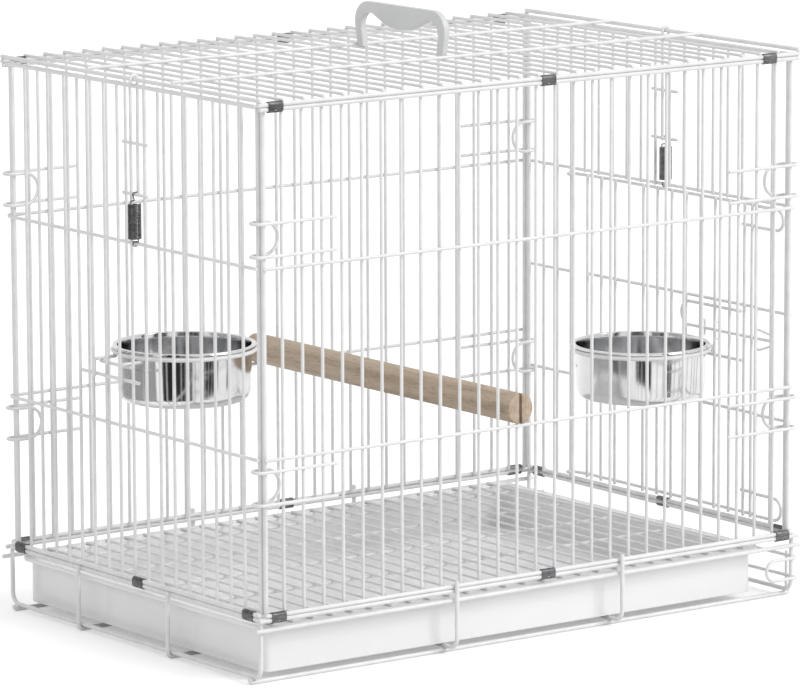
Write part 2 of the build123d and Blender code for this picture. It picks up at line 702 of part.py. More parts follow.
def handle_solid():
    outside, inside, foot = handle()
    floor = Line((HANDLE_FOOT_Y - HANDLE_FOOT_WIDE, foot), (HANDLE_FOOT_Y, foot))
    middle = Line((0, HANDLE_GRIP_LOW), (0, HANDLE_TOP - 0.4))
    right = make_face([outside, inside, floor, middle])
    plane = Plane(origin=(0, 0, 0), x_dir=(0, 1, 0), z_dir=(1, 0, 0))
    half = extrude(plane * right, amount=HANDLE_THICK / 2, both=True)
    jaw = Plane.YZ * Pos(TOP_CROSS_Y - 1.2, TOP_WIRE_Z + 2.6) * Rectangle(*HANDLE_JAW)
    half += extrude(jaw, amount=HANDLE_THICK / 2, both=True)
    whole = half + mirror(half, about=Plane.XZ)
    return group("handle", [whole.solid()])


def make_all():
    nodes = [base_frame(), base_end_frames(), tray_cross_wires(), tray_runner_wires()]
    nodes += [tray(), floor_grate(), tray_gate()]
    nodes += [side_panel("front_panel", -1), side_panel("back_panel", 1), top_panel()]
    nodes += [left_end_panel(), right_end_panel()]
    nodes += [corner_hooks("front_corner_hooks", -1), corner_hooks("back_corner_hooks", 1)]
    nodes += [clip_group("top_front_clips", SIDE_CLIPS_HIGH, TOP_SEAM_Z, True, -1),
              clip_group("top_back_clips", SIDE_CLIPS_HIGH, TOP_SEAM_Z, True, 1),
              clip_group("bottom_front_clips", SIDE_CLIPS_LOW, SEAM_Z, True, -1),
              clip_group("bottom_back_clips", SIDE_CLIPS_LOW, SEAM_Z, True, 1),
              clip_group("bottom_left_clips", END_CLIPS, SEAM_Z, False, -1),
              clip_group("bottom_right_clips", END_CLIPS, SEAM_Z, False, 1)]
    nodes += [latch("left_latch", -1), latch_spring("left_latch_spring", -1)]
    nodes += [latch("right_latch", 1), latch_spring("right_latch_spring", 1)]
    nodes += [side_door(), door_bolt(), door_bolt_guides(), door_bolt_keeper()]
    nodes += [bowl("food_bowl", FOOD_CENTRE, FOOD_RING_Z), bowl("water_bowl", WATER_CENTRE, WATER_RING_Z)]
    nodes += [bowl_holder("food_bowl_holder", FOOD_CENTRE, FOOD_RING_Z, -1, END_X, PITCH, (-11.0, 62.0), 13.8),
              bowl_holder("water_bowl_holder", WATER_CENTRE, WATER_RING_Z, 1, DOOR_BAR_X, PITCH / 2,
                          (-97.5, -23.5), 9.8)]
    nodes += [perch(), handle_solid()]
    return nodes


os.makedirs("parts", exist_ok=True)
for node in make_all():
    export_step(node, "parts/" + node.label + ".step")
    print(node.label, len(node.solids()), "solids", round(node.volume, 1), "mm3")
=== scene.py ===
import json
import math

import bpy
from mathutils import Matrix, Vector


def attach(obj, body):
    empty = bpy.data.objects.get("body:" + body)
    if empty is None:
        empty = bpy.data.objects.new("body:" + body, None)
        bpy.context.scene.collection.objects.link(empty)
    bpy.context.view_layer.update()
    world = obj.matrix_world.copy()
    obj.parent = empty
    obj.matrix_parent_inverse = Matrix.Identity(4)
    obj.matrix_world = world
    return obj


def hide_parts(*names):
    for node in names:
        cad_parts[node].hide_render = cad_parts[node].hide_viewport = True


# Looks of a collapsible wire bird cage, with all sizes in mm.
# X runs along the cage, Y across it, +Z up. -Y is the front, +X is the end with the side door.

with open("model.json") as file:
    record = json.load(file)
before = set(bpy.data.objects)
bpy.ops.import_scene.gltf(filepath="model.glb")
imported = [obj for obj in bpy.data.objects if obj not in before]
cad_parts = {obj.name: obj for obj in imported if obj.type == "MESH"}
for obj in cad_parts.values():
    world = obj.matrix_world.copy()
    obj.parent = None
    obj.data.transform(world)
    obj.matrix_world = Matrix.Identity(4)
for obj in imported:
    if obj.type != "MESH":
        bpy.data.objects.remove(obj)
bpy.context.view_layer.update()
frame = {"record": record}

MM = 0.001

# Least step and merge distance in metres, degrees per bend step, eased share of a wire's end
TINY = 1e-7
MERGE = 0.00001
BEND_STEP = 15
END_EASE = 0.45

# Wire sizes and the grid of the cage
PITCH = 17.0
SIDE_BARS = 27
FIRST_BAR_X = -13 * PITCH
END_BARS = 17
MIDDLE_BAR = 8
END_X = 14 * PITCH
SIDE_Y = 158.5
SEAM_Z = 48.0
TOP_RAIL_Z = 402.2
CROSS_LEVELS = (158.8, 292.1)
BAR_R = 1.0
BAR_COATED_R = 1.2
CROSS_R = 1.3
RAIL_R = 1.6
POST_R = 1.7
HOOK_R = 1.25
LATCH_R = 1.2
RAIL_X = END_X + BAR_R + RAIL_R
RAIL_Y = SIDE_Y + BAR_R + RAIL_R
BASE_RAIL_Z = SEAM_Z - RAIL_R
PANEL_RAIL_Z = SEAM_Z + RAIL_R
FOOT_WELD_Z = PANEL_RAIL_Z + 0.7
TOP_SEAM_Z = TOP_RAIL_Z + RAIL_R
TOP_FRAME_Z = TOP_SEAM_Z + RAIL_R
TOP_END_Z = TOP_FRAME_Z + 2 * RAIL_R
TOP_BAR_Z = TOP_FRAME_Z + RAIL_R + BAR_R
TOP_WIRE_Z = TOP_BAR_Z + BAR_R + CROSS_R
BAR_LOW = 49.2
SIDE_TOP = TOP_RAIL_Z + 1.4
END_POST_Y = SIDE_Y - 4.5
DOOR_X = END_X + 2.7

# Clearances of what slides, what turns and what lies on a wire
SLIDE_GAP = 0.1
TURN_GAP = 0.05
REST_GAP = 0.02

# Half sizes of the weld spots along X, Y and Z
SIDE_WELD = (1.5, 0.7, 1.3)
END_WELD = (0.7, 1.5, 1.3)
TOP_WELD = (1.3, 1.6, 0.7)
TOP_RAIL_WELD = (1.4, 1.6, 0.7)
GRATE_WELD = (1.2, 1.2, 0.6)
HOOP_WELD = (2.1, 0.9, 1.5)
RUNNER_WELD = (0.9, 2.1, 1.5)
RUNG_WELD = (0.8, 1.7, 1.5)
GATE_WELD = (0.7, 1.5, 1.5)
HANGER_WELD = (0.8, 1.6, 1.5)
ARM_WELD = (1.8, 1.4, 0.7)


# Bench tools

def deselect():
    bpy.ops.object.select_all(action="DESELECT")


def settle():
    """Puts the place of a fresh primitive into its mesh."""
    bpy.ops.object.transform_apply(location=True, rotation=True, scale=True)
    return bpy.context.object


def edit(piece, mode):
    bpy.context.view_layer.objects.active = piece
    bpy.ops.object.mode_set(mode="EDIT")
    bpy.ops.mesh.select_mode(type=mode)


def done():
    bpy.ops.object.mode_set(mode="OBJECT")


def pick_faces(piece, wanted):
    """Selects the faces that a test accepts, and nothing else."""
    edit(piece, "FACE")
    bpy.ops.mesh.select_all(action="DESELECT")
    done()
    for face in piece.data.polygons:
        face.select = wanted(face)
    edit(piece, "FACE")


def turned_to(direction):
    return direction.to_track_quat("Z", "Y").to_euler()


def pull(step):
    if step.length > TINY:
        bpy.ops.mesh.extrude_region_move(TRANSFORM_OT_translate={"value": tuple(step)})


def draw_through(points, bends):
    """Extrudes what is selected along straight runs, and spins it round each bend."""
    spots = [Vector(p) * MM for p in points]
    here = spots[0]
    for before, corner, after, bend in zip(spots, spots[1:], spots[2:], bends):
        into = (corner - before).normalized()
        out = (after - corner).normalized()
        turn = into.angle(out)
        setback = bend * MM * math.tan(turn / 2)
        pull(corner - into * setback - here)
        inward = (out - into * into.dot(out)).normalized()
        centre = corner - into * setback + inward * bend * MM
        bpy.ops.mesh.spin(steps=max(2, round(math.degrees(turn) / BEND_STEP)), angle=turn, center=centre,
                          axis=out.cross(into).normalized(), use_auto_merge=False)
        here = corner + out * setback
    pull(spots[-1] - here)


def close_up():
    """Merges the seams of what was drawn, closes its ends and turns its faces outward."""
    bpy.ops.mesh.select_all(action="SELECT")
    bpy.ops.mesh.remove_doubles(threshold=MERGE)
    bpy.ops.mesh.fill_holes(sides=0)
    bpy.ops.mesh.normals_make_consistent(inside=False)
    done()


def face_outward(piece):
    edit(piece, "FACE")
    bpy.ops.mesh.select_all(action="SELECT")
    bpy.ops.mesh.normals_make_consistent(inside=False)
    done()


def round_ends(piece, radius):
    """Eases the edge of each cut end, which are the only faces with many sides."""
    pick_faces(piece, lambda face: len(face.vertices) > 4)
    bpy.ops.mesh.bevel(offset=radius * END_EASE * MM, segments=2, affect="EDGES")
    done()
    return piece


def straight_wire(start, end, radius, sides=12):
    a = Vector(start) * MM
    b = Vector(end) * MM
    deselect()
    bpy.ops.mesh.primitive_cylinder_add(vertices=sides, radius=radius * MM, depth=(b - a).length,
                                        location=(a + b) / 2, rotation=turned_to(b - a))
    return round_ends(settle(), radius)


def bent_wire(points, bends, radius, sides=12):
    first = Vector(points[1]) - Vector(points[0])
    deselect()
    bpy.ops.mesh.primitive_circle_add(vertices=sides, radius=radius * MM,
                                      location=Vector(points[0]) * MM, rotation=turned_to(first))
    wire = settle()
    edit(wire, "VERT")
    bpy.ops.mesh.select_all(action="SELECT")
    draw_through(points, bends)
    close_up()
    return round_ends(wire, radius)


def row_of(piece, count, step):
    """Repeats a piece in a row."""
    repeat = piece.modifiers.new("row", "ARRAY")
    repeat.use_relative_offset = False
    repeat.use_constant_offset = True
    repeat.constant_offset_displace = Vector(step) * MM
    repeat.count = count
    bpy.context.view_layer.objects.active = piece
    bpy.ops.object.modifier_apply(modifier=repeat.name)
    return piece


def weld_row(first, count, step, size):
    """Flattened weld spots, one where each wire of a row lies on another."""
    deselect()
    bpy.ops.mesh.primitive_ico_sphere_add(subdivisions=1, radius=MM, location=Vector(first) * MM,
                                          scale=size)
    return row_of(settle(), count, step)


def weld_spot(spot, size):
    return weld_row(spot, 1, (0, 0, 0), size)


def mirrored(piece, axis):
    """A second piece with its own mesh, on the other side of the cage."""
    other = piece.copy()
    other.data = piece.data.copy()
    bpy.context.scene.collection.objects.link(other)
    deselect()
    other.select_set(True)
    bpy.context.view_layer.objects.active = other
    other.scale[axis] = -1
    settle()
    face_outward(other)
    return other


def soften(piece, width, segments, limit):
    """Rounds every edge sharper than the limit."""
    bevel = piece.modifiers.new("eased", "BEVEL")
    bevel.width = width * MM
    bevel.segments = segments
    bevel.limit_method = "ANGLE"
    bevel.angle_limit = math.radians(limit)
    bpy.context.view_layer.objects.active = piece
    bpy.ops.object.modifier_apply(modifier=bevel.name)


def cut_away(piece, cutter):
    cut = piece.modifiers.new("cut", "BOOLEAN")
    cut.operation = "DIFFERENCE"
    cut.object = cutter
    bpy.context.view_layer.objects.active = piece
    bpy.ops.object.modifier_apply(modifier=cut.name)
    bpy.data.objects.remove(cutter)


def joined(name, parts):
    deselect()
    for part in parts:
        part.select_set(True)
    bpy.context.view_layer.objects.active = parts[0]
    if len(parts) > 1:
        bpy.ops.object.join()
    whole = bpy.context.object
    whole.name = name
    whole.data.name = name
    return whole


def finished(name, parts, node, finish, smooth=40):
    """One piece of the cage, riding with its node's body and standing for that node."""
    whole = joined(name, parts)
    deselect()
    whole.select_set(True)
    bpy.context.view_layer.objects.active = whole
    bpy.ops.object.shade_smooth_by_angle(angle=math.radians(smooth))
    whole.data.materials.clear()
    whole.data.materials.append(finish)
    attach(whole, body_of[node])
    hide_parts(node)
    return whole


body_of = {node: body for body, nodes in frame["record"]["behaviour"]["bodies"].items() for node in nodes}


# Finishes

def new_finish(name):
    finish = bpy.data.materials.new(name)
    finish.use_nodes = True
    tree = finish.node_tree
    return finish, tree, tree.nodes["Principled BSDF"]


def place(tree, stretch=(1, 1, 1)):
    """Object coordinates, stretched along the axes."""
    source = tree.nodes.new("ShaderNodeTexCoord")
    mapping = tree.nodes.new("ShaderNodeMapping")
    mapping.inputs["Scale"].default_value = stretch
    tree.links.new(source.outputs["Object"], mapping.inputs["Vector"])
    return mapping.outputs["Vector"]


def clouds(tree, vector, scale, detail=3.0):
    noise = tree.nodes.new("ShaderNodeTexNoise")
    noise.inputs["Scale"].default_value = scale
    noise.inputs["Detail"].default_value = detail
    tree.links.new(vector, noise.inputs["Vector"])
    return noise.outputs["Fac"]


def tones(tree, value, stops):
    """Colours along a value, each stop a place and a grey or a colour."""
    ramp = tree.nodes.new("ShaderNodeValToRGB")
    points = ramp.color_ramp.elements
    for i, (spot, tone) in enumerate(stops):
        point = points[i] if i < 2 else points.new(spot)
        point.position = spot
        point.color = (tone, tone, tone, 1) if isinstance(tone, float) else (*tone, 1)
    tree.links.new(value, ramp.inputs["Fac"])
    return ramp.outputs["Color"]


def spread(tree, value, low, high):
    scale = tree.nodes.new("ShaderNodeMapRange")
    scale.inputs["To Min"].default_value = low
    scale.inputs["To Max"].default_value = high
    tree.links.new(value, scale.inputs["Value"])
    return scale.outputs["Result"]


def relief(tree, shader, height, strength, depth):
    bump = tree.nodes.new("ShaderNodeBump")
    bump.inputs["Strength"].default_value = strength
    bump.inputs["Distance"].default_value = depth * MM
    tree.links.new(height, bump.inputs["Height"])
    tree.links.new(bump.outputs["Normal"], shader.inputs["Normal"])


def powder_coat():
    """White baked powder: soft gloss and fine orange peel."""
    finish, tree, shader = new_finish("white_powder_coat")
    spot = place(tree)
    shade = tones(tree, clouds(tree, spot, 90.0), [(0.35, 0.73), (0.65, 0.79)])
    tree.links.new(shade, shader.inputs["Base Color"])
    tree.links.new(spread(tree, clouds(tree, spot, 240.0), 0.26, 0.46), shader.inputs["Roughness"])
    relief(tree, shader, clouds(tree, spot, 1500.0, 2.0), 0.25, 0.05)
    return finish


def clip_steel():
    """Rolled spring steel of the clips: dark, with streaks along the strip."""
    finish, tree, shader = new_finish("rolled_clip_steel")
    shader.inputs["Metallic"].default_value = 1.0
    spot = place(tree, (1, 1, 6))
    shade = tones(tree, clouds(tree, spot, 260.0, 5.0),
                  [(0.3, (0.11, 0.113, 0.117)), (0.7, (0.24, 0.24, 0.243))])
    tree.links.new(shade, shader.inputs["Base Color"])
    tree.links.new(spread(tree, clouds(tree, spot, 420.0), 0.4, 0.6), shader.inputs["Roughness"])
    relief(tree, shader, clouds(tree, spot, 1800.0, 4.0), 0.3, 0.04)
    return finish


def spring_steel():
    """Drawn spring wire with a film of oil, dark grey."""
    finish, tree, shader = new_finish("oiled_spring_steel")
    shader.inputs["Metallic"].default_value = 1.0
    spot = place(tree)
    shade = tones(tree, clouds(tree, spot, 300.0, 4.0),
                  [(0.3, (0.13, 0.13, 0.135)), (0.7, (0.27, 0.27, 0.275))])
    tree.links.new(shade, shader.inputs["Base Color"])
    tree.links.new(spread(tree, clouds(tree, spot, 700.0), 0.25, 0.42), shader.inputs["Roughness"])
    relief(tree, shader, clouds(tree, spot, 2500.0, 2.0), 0.2, 0.02)
    return finish


def bowl_steel():
    """Spun stainless sheet: polished, with faint rings from the spinning and small smears."""
    finish, tree, shader = new_finish("spun_stainless")
    shader.inputs["Metallic"].default_value = 1.0
    rings = clouds(tree, place(tree, (0.02, 0.02, 1)), 900.0, 2.0)
    shade = tones(tree, clouds(tree, place(tree), 60.0),
                  [(0.3, (0.66, 0.665, 0.67)), (0.7, (0.76, 0.76, 0.765))])
    tree.links.new(shade, shader.inputs["Base Color"])
    smears = clouds(tree, place(tree), 45.0, 5.0)
    tree.links.new(spread(tree, smears, 0.06, 0.17), shader.inputs["Roughness"])
    relief(tree, shader, rings, 0.12, 0.03)
    return finish


def tray_plastic():
    """White moulded plastic of the tray, glossy with slight sink and flow marks."""
    finish, tree, shader = new_finish("moulded_white_plastic")
    flow = clouds(tree, place(tree, (0.3, 1, 1)), 12.0)
    shade = tones(tree, flow, [(0.35, 0.80), (0.65, 0.845)])
    tree.links.new(shade, shader.inputs["Base Color"])
    tree.links.new(spread(tree, clouds(tree, place(tree), 30.0, 4.0), 0.16, 0.3), shader.inputs["Roughness"])
    relief(tree, shader, clouds(tree, place(tree), 14.0, 1.0), 0.18, 0.5)
    shader.inputs["Coat Weight"].default_value = 0.3
    return finish


def handle_plastic_painted_shade():
    """Grained plastic of the handle, white in fact, with a pale grey base colour that is painted shade."""
    finish, tree, shader = new_finish("grained_white_plastic_painted_grey_shade")
    spot = place(tree)
    # Painted shade: these grey tones darken the white plastic to stand in for the shade that falls on the
    # handle's faces.
    shade = tones(tree, clouds(tree, spot, 35.0),
                  [(0.35, (0.60, 0.605, 0.61)), (0.65, (0.645, 0.65, 0.655))])
    tree.links.new(shade, shader.inputs["Base Color"])
    tree.links.new(spread(tree, clouds(tree, spot, 160.0), 0.42, 0.58), shader.inputs["Roughness"])
    relief(tree, shader, clouds(tree, spot, 1400.0, 2.0), 0.3, 0.06)
    return finish


def beech():
    """Sanded beech: pale ground, long grain along the dowel, short dark flecks."""
    finish, tree, shader = new_finish("sanded_beech")
    along = place(tree, (1, 0.06, 1))
    grain = tones(tree, clouds(tree, along, 170.0, 6.0),
                  [(0.30, (0.36, 0.27, 0.19)), (0.52, (0.46, 0.36, 0.265)), (0.72, (0.53, 0.43, 0.33))])
    short = place(tree, (1, 0.16, 1))
    flecks = tones(tree, clouds(tree, short, 900.0, 2.0), [(0.34, 0.62), (0.44, 1.0)])
    mix = tree.nodes.new("ShaderNodeMix")
    mix.data_type = "RGBA"
    mix.blend_type = "MULTIPLY"
    mix.inputs["Factor"].default_value = 0.7
    tree.links.new(grain, mix.inputs["A"])
    tree.links.new(flecks, mix.inputs["B"])
    tree.links.new(mix.outputs["Result"], shader.inputs["Base Color"])
    tree.links.new(spread(tree, clouds(tree, along, 300.0), 0.45, 0.65), shader.inputs["Roughness"])
    relief(tree, shader, clouds(tree, along, 700.0, 4.0), 0.35, 0.08)
    return finish


WHITE = powder_coat()
CLIP_STEEL = clip_steel()
SPRING_STEEL = spring_steel()
BOWL_STEEL = bowl_steel()
TRAY_PLASTIC = tray_plastic()
# The handle's finish carries painted shade: its grey base colour stands in for shade on white plastic.
HANDLE_PLASTIC_PAINTED_SHADE = handle_plastic_painted_shade()
BEECH = beech()


def wirework(name, parts, node):
    return finished(name, parts, node, WHITE)


# Base: rails, end frames and the wires under the tray

POST_Y = RAIL_Y - 2 * RAIL_R
LOWER_RAIL_Z = 39.5
CROSS_RUN_Z = 3 * RAIL_R
BASE_RAIL_END = 244.0
LOWER_RAIL_END = 247.0
UNDER_BEND = 8.0
HOOP_X = 75.0
HOOP_Y = RAIL_Y + 2 * RAIL_R
HOOP_TOP = SEAM_Z + 6.0
RUNNER_Y = (-48.5, 65.5)
GROUND_Y = 150.0
GROUND_TIP_X = RAIL_X + 4.2
GROUND_TIP_RUN = 0.6
GROUND_TIP_Z = 4.9
GROUND_BEND = 2.0


def base_rails():
    parts = []
    inner = RAIL_Y - RAIL_R
    for s in (-1, 1):
        for reach, z in ((BASE_RAIL_END, BASE_RAIL_Z), (LOWER_RAIL_END, LOWER_RAIL_Z)):
            parts.append(straight_wire((-reach, s * RAIL_Y, z), (reach, s * RAIL_Y, z), RAIL_R))
        x = s * RAIL_X
        parts.append(straight_wire((x, -inner, BASE_RAIL_Z), (x, inner, BASE_RAIL_Z), RAIL_R))
    wirework("base_rails", parts, "base_frame")


def under_wire(x, half, top):
    """Wire that goes down, under the tray across the cage, and up again."""
    path = [(x, -half, top), (x, -half, CROSS_RUN_Z), (x, half, CROSS_RUN_Z), (x, half, top)]
    return bent_wire(path, (UNDER_BEND, UNDER_BEND), RAIL_R)


def under_wires():
    """End frames just under the end rails, and two hoops between them."""
    left = under_wire(-RAIL_X, POST_Y, BASE_RAIL_Z - RAIL_R)
    wirework("end_frames", [left, mirrored(left, 0)], "base_end_frames")
    left = under_wire(-HOOP_X, HOOP_Y, HOOP_TOP)
    parts = [left, mirrored(left, 0)]
    face = RAIL_Y + RAIL_R
    for x in (-HOOP_X, HOOP_X):
        for z in (LOWER_RAIL_Z, BASE_RAIL_Z):
            parts.append(weld_row((x, -face, z), 2, (0, 2 * face, 0), HOOP_WELD))
    wirework("tray_cross_hoops", parts, "tray_cross_wires")


def runner_wires():
    """Two ground wires with raised tips, and two wires from the left rail under the tray."""
    low_end = GROUND_TIP_X - GROUND_TIP_RUN
    path = [(-GROUND_TIP_X, -GROUND_Y, GROUND_TIP_Z), (-low_end, -GROUND_Y, RAIL_R),
            (low_end, -GROUND_Y, RAIL_R), (GROUND_TIP_X, -GROUND_Y, GROUND_TIP_Z)]
    ground = bent_wire(path, (GROUND_BEND, GROUND_BEND), RAIL_R)
    parts = [ground, mirrored(ground, 1)]
    out = RAIL_X + 2 * RAIL_R
    for y in RUNNER_Y:
        path = [(-out, y, SEAM_Z), (-out, y, RAIL_R), (RAIL_X + 1, y, RAIL_R)]
        parts.append(bent_wire(path, (2 * RAIL_R,), RAIL_R))
        parts.append(weld_spot((-RAIL_X - RAIL_R, y, BASE_RAIL_Z), RUNNER_WELD))
    wirework("tray_runners", parts, "tray_runner_wires")


# Panels of welded wire

SIDE_POST_X = 236.0
SIDE_CROSS_END = 238.2
FOOT_RAIL_END = 238.5
HEAD_RAIL_END = 241.0
TOP_WIRE_Y = 52.8
TOP_BAR_END = RAIL_Y + 1.2
END_TOP = 405.4
END_RAIL_Z = 404.0
FOOT_RAIL_HALF = 157.2
END_CROSS_HALF = 156.2
DOORWAY_FIRST = 2
DOORWAY_LAST = 14
DOORWAY_LEVELS = (131.1, 211.4)
DOORWAY_NEAR = 117.5
DOORWAY_FAR = 100.5
GRATE_FIRST_X = -228.3
GRATE_BARS = 26
GRATE_HALF = 155.1
GRATE_BAR_Z = 42.02
GRATE_CROSSES = 5
GRATE_CROSS_STEP = 62.0


def side_panel(name, node, s):
    """Front panel for s = -1, back panel for s = 1."""
    y = s * SIDE_Y
    face = s * (SIDE_Y + BAR_R)
    bar = straight_wire((FIRST_BAR_X, y, BAR_LOW), (FIRST_BAR_X, y, SIDE_TOP), BAR_COATED_R)
    parts = [row_of(bar, SIDE_BARS, (PITCH, 0, 0))]
    post_y = s * (SIDE_Y + BAR_R - POST_R)
    post = straight_wire((-SIDE_POST_X, post_y, BAR_LOW), (-SIDE_POST_X, post_y, SIDE_TOP), POST_R)
    parts.append(row_of(post, 2, (2 * SIDE_POST_X, 0, 0)))
    for z in CROSS_LEVELS:
        out = face + s * CROSS_R
        parts.append(straight_wire((-SIDE_CROSS_END, out, z), (SIDE_CROSS_END, out, z), CROSS_R))
    for z, reach in ((PANEL_RAIL_Z, FOOT_RAIL_END), (TOP_RAIL_Z, HEAD_RAIL_END)):
        parts.append(straight_wire((-reach, s * RAIL_Y, z), (reach, s * RAIL_Y, z), RAIL_R))
    for z in (*CROSS_LEVELS, PANEL_RAIL_Z + 0.3, TOP_RAIL_Z - 0.3):
        parts.append(weld_row((FIRST_BAR_X, face, z), SIDE_BARS, (PITCH, 0, 0), SIDE_WELD))
    wirework(name, parts, node)


def top_panel():
    bar = straight_wire((FIRST_BAR_X, -TOP_BAR_END, TOP_BAR_Z), (FIRST_BAR_X, TOP_BAR_END, TOP_BAR_Z),
                        BAR_COATED_R)
    parts = [row_of(bar, SIDE_BARS, (PITCH, 0, 0))]
    for s in (-1, 1):
        end = RAIL_X + RAIL_R
        parts.append(straight_wire((-end, s * RAIL_Y, TOP_FRAME_Z), (end, s * RAIL_Y, TOP_FRAME_Z), RAIL_R))
        end = RAIL_Y + RAIL_R
        parts.append(straight_wire((s * RAIL_X, -end, TOP_END_Z), (s * RAIL_X, end, TOP_END_Z), RAIL_R))
        end = RAIL_X - RAIL_R
        y = s * TOP_WIRE_Y
        parts.append(straight_wire((-end, y, TOP_WIRE_Z), (end, y, TOP_WIRE_Z), CROSS_R))
        parts.append(weld_row((FIRST_BAR_X, y, TOP_BAR_Z + BAR_R), SIDE_BARS, (PITCH, 0, 0), TOP_WELD))
        parts.append(weld_row((FIRST_BAR_X, s * RAIL_Y, TOP_BAR_Z - BAR_R), SIDE_BARS, (PITCH, 0, 0),
                              TOP_RAIL_WELD))
    wirework("top_panel_wires", parts, "top_panel")


def end_welds(s, first, count, z):
    """Weld spots on a row of bars of an end panel, from bar number first."""
    spot = (s * (END_X + BAR_R), PITCH * (first - MIDDLE_BAR), z)
    return weld_row(spot, count, (0, PITCH, 0), END_WELD)


def end_bars(s, first, count, low=BAR_LOW):
    """A row of bars of an end panel, from bar number first."""
    y = PITCH * (first - MIDDLE_BAR)
    bar = straight_wire((s * END_X, y, low), (s * END_X, y, END_TOP), BAR_COATED_R)
    return row_of(bar, count, (0, PITCH, 0))


def across(x, start, end, z, radius):
    return straight_wire((x, start, z), (x, end, z), radius)


def end_frame(s):
    """Posts, bottom rail and top rail of an end panel."""
    x = s * (END_X + BAR_R - POST_R)
    post = straight_wire((x, -END_POST_Y, BAR_LOW), (x, -END_POST_Y, END_TOP), POST_R)
    return [row_of(post, 2, (0, 2 * END_POST_Y, 0)),
            across(s * RAIL_X, -FOOT_RAIL_HALF, FOOT_RAIL_HALF, PANEL_RAIL_Z, RAIL_R),
            across(s * RAIL_X, -END_CROSS_HALF, END_CROSS_HALF, END_RAIL_Z, RAIL_R),
            end_welds(s, 0, END_BARS, END_RAIL_Z)]


def left_end_panel():
    parts = end_frame(-1)
    parts.append(end_bars(-1, 0, END_BARS))
    x = -END_X - BAR_R - CROSS_R
    for z in CROSS_LEVELS:
        parts.append(across(x, -END_CROSS_HALF, END_CROSS_HALF, z, CROSS_R))
    for z in (*CROSS_LEVELS, FOOT_WELD_Z):
        parts.append(end_welds(-1, 0, END_BARS, z))
    wirework("left_end_panel_wires", parts, "left_end_panel")


def right_end_panel():
    """End panel with a doorway, where the bars start above the door."""
    head = CROSS_LEVELS[1]
    x = END_X + BAR_R + CROSS_R
    parts = end_frame(1)
    parts.append(end_bars(1, DOORWAY_FIRST, DOORWAY_LAST - DOORWAY_FIRST, head - CROSS_R))
    parts.append(across(x, -END_CROSS_HALF, END_CROSS_HALF, head, CROSS_R))
    parts.append(end_welds(1, 0, END_BARS, head))
    for z in DOORWAY_LEVELS:
        parts.append(across(x, -END_CROSS_HALF, -DOORWAY_NEAR, z, CROSS_R))
        parts.append(across(x, DOORWAY_FAR, END_CROSS_HALF, z, CROSS_R))
    for first, count in ((0, DOORWAY_FIRST), (DOORWAY_LAST, END_BARS - DOORWAY_LAST)):
        parts.append(end_bars(1, first, count))
        for z in (FOOT_WELD_Z, *DOORWAY_LEVELS):
            parts.append(end_welds(1, first, count, z))
    wirework("right_end_panel_wires", parts, "right_end_panel")


def floor_grate():
    first = GRATE_FIRST_X
    last = first + (GRATE_BARS - 1) * PITCH
    bar = straight_wire((first, -GRATE_HALF, GRATE_BAR_Z), (first, GRATE_HALF, GRATE_BAR_Z), BAR_R)
    parts = [row_of(bar, GRATE_BARS, (PITCH, 0, 0))]
    y = -(GRATE_CROSSES - 1) / 2 * GRATE_CROSS_STEP
    low_z = GRATE_BAR_Z - 2 * BAR_R
    low = straight_wire((first - BAR_R, y, low_z), (last + BAR_R, y, low_z), BAR_R)
    parts.append(row_of(low, GRATE_CROSSES, (0, GRATE_CROSS_STEP, 0)))
    for i in range(GRATE_CROSSES):
        spot = (first, y + i * GRATE_CROSS_STEP, GRATE_BAR_Z - BAR_R)
        parts.append(weld_row(spot, GRATE_BARS, (PITCH, 0, 0), GRATE_WELD))
    wirework("floor_grate_wires", parts, "floor_grate")


# Corner hooks, which clasp the end posts

HOOK_LEVELS = ((127.5, 150.5), (300.5, 323.5))
HOOK_TURN = 5.3
HOOK_START_X = 176.0
HOOK_FAR_X = END_X + 0.3 + HOOK_TURN
HOOK_LOOP_X = END_X - 19.5


def corner_hook(low, high):
    """One wire: along the side panel, round the post, a D inside the end panel, and back."""
    outer = SIDE_Y + BAR_R + HOOK_R
    inner = outer - 2 * HOOK_TURN
    half = [(HOOK_START_X, outer, high), (HOOK_FAR_X, outer, high), (HOOK_FAR_X, inner, high),
            (HOOK_LOOP_X, inner, high)]
    back = [(x, y, low) for x, y, z in reversed(half)]
    reach = (high - low) / 2
    return bent_wire(half + back, (HOOK_TURN, HOOK_TURN, reach, reach, HOOK_TURN, HOOK_TURN), HOOK_R)


def corner_hooks():
    back = [corner_hook(low, high) for low, high in HOOK_LEVELS]
    back += [mirrored(hook, 0) for hook in back]
    front = [mirrored(hook, 1) for hook in back]
    wirework("back_hooks", back, "back_corner_hooks")
    wirework("front_hooks", front, "front_corner_hooks")


# Spring clips: a strip rolled round two rails that lie on each other

CLIP_LENGTH = 12.0
CLIP_THICK = 0.7
CLIP_NOTCH_R = 1.5
CLIP_NOTCH_RISE = 0.4
CLIP_R = RAIL_R + TURN_GAP + CLIP_THICK / 2
CLIP_LIP = RAIL_R - 0.3
CLIP_EASE = 0.12
CLIP_END_X = 228.15
CLIP_MIDDLE = 8.5
CLIP_TOP_RIGHT_X = 212.5
CLIP_END_Y = 144.6
SHARP = 50


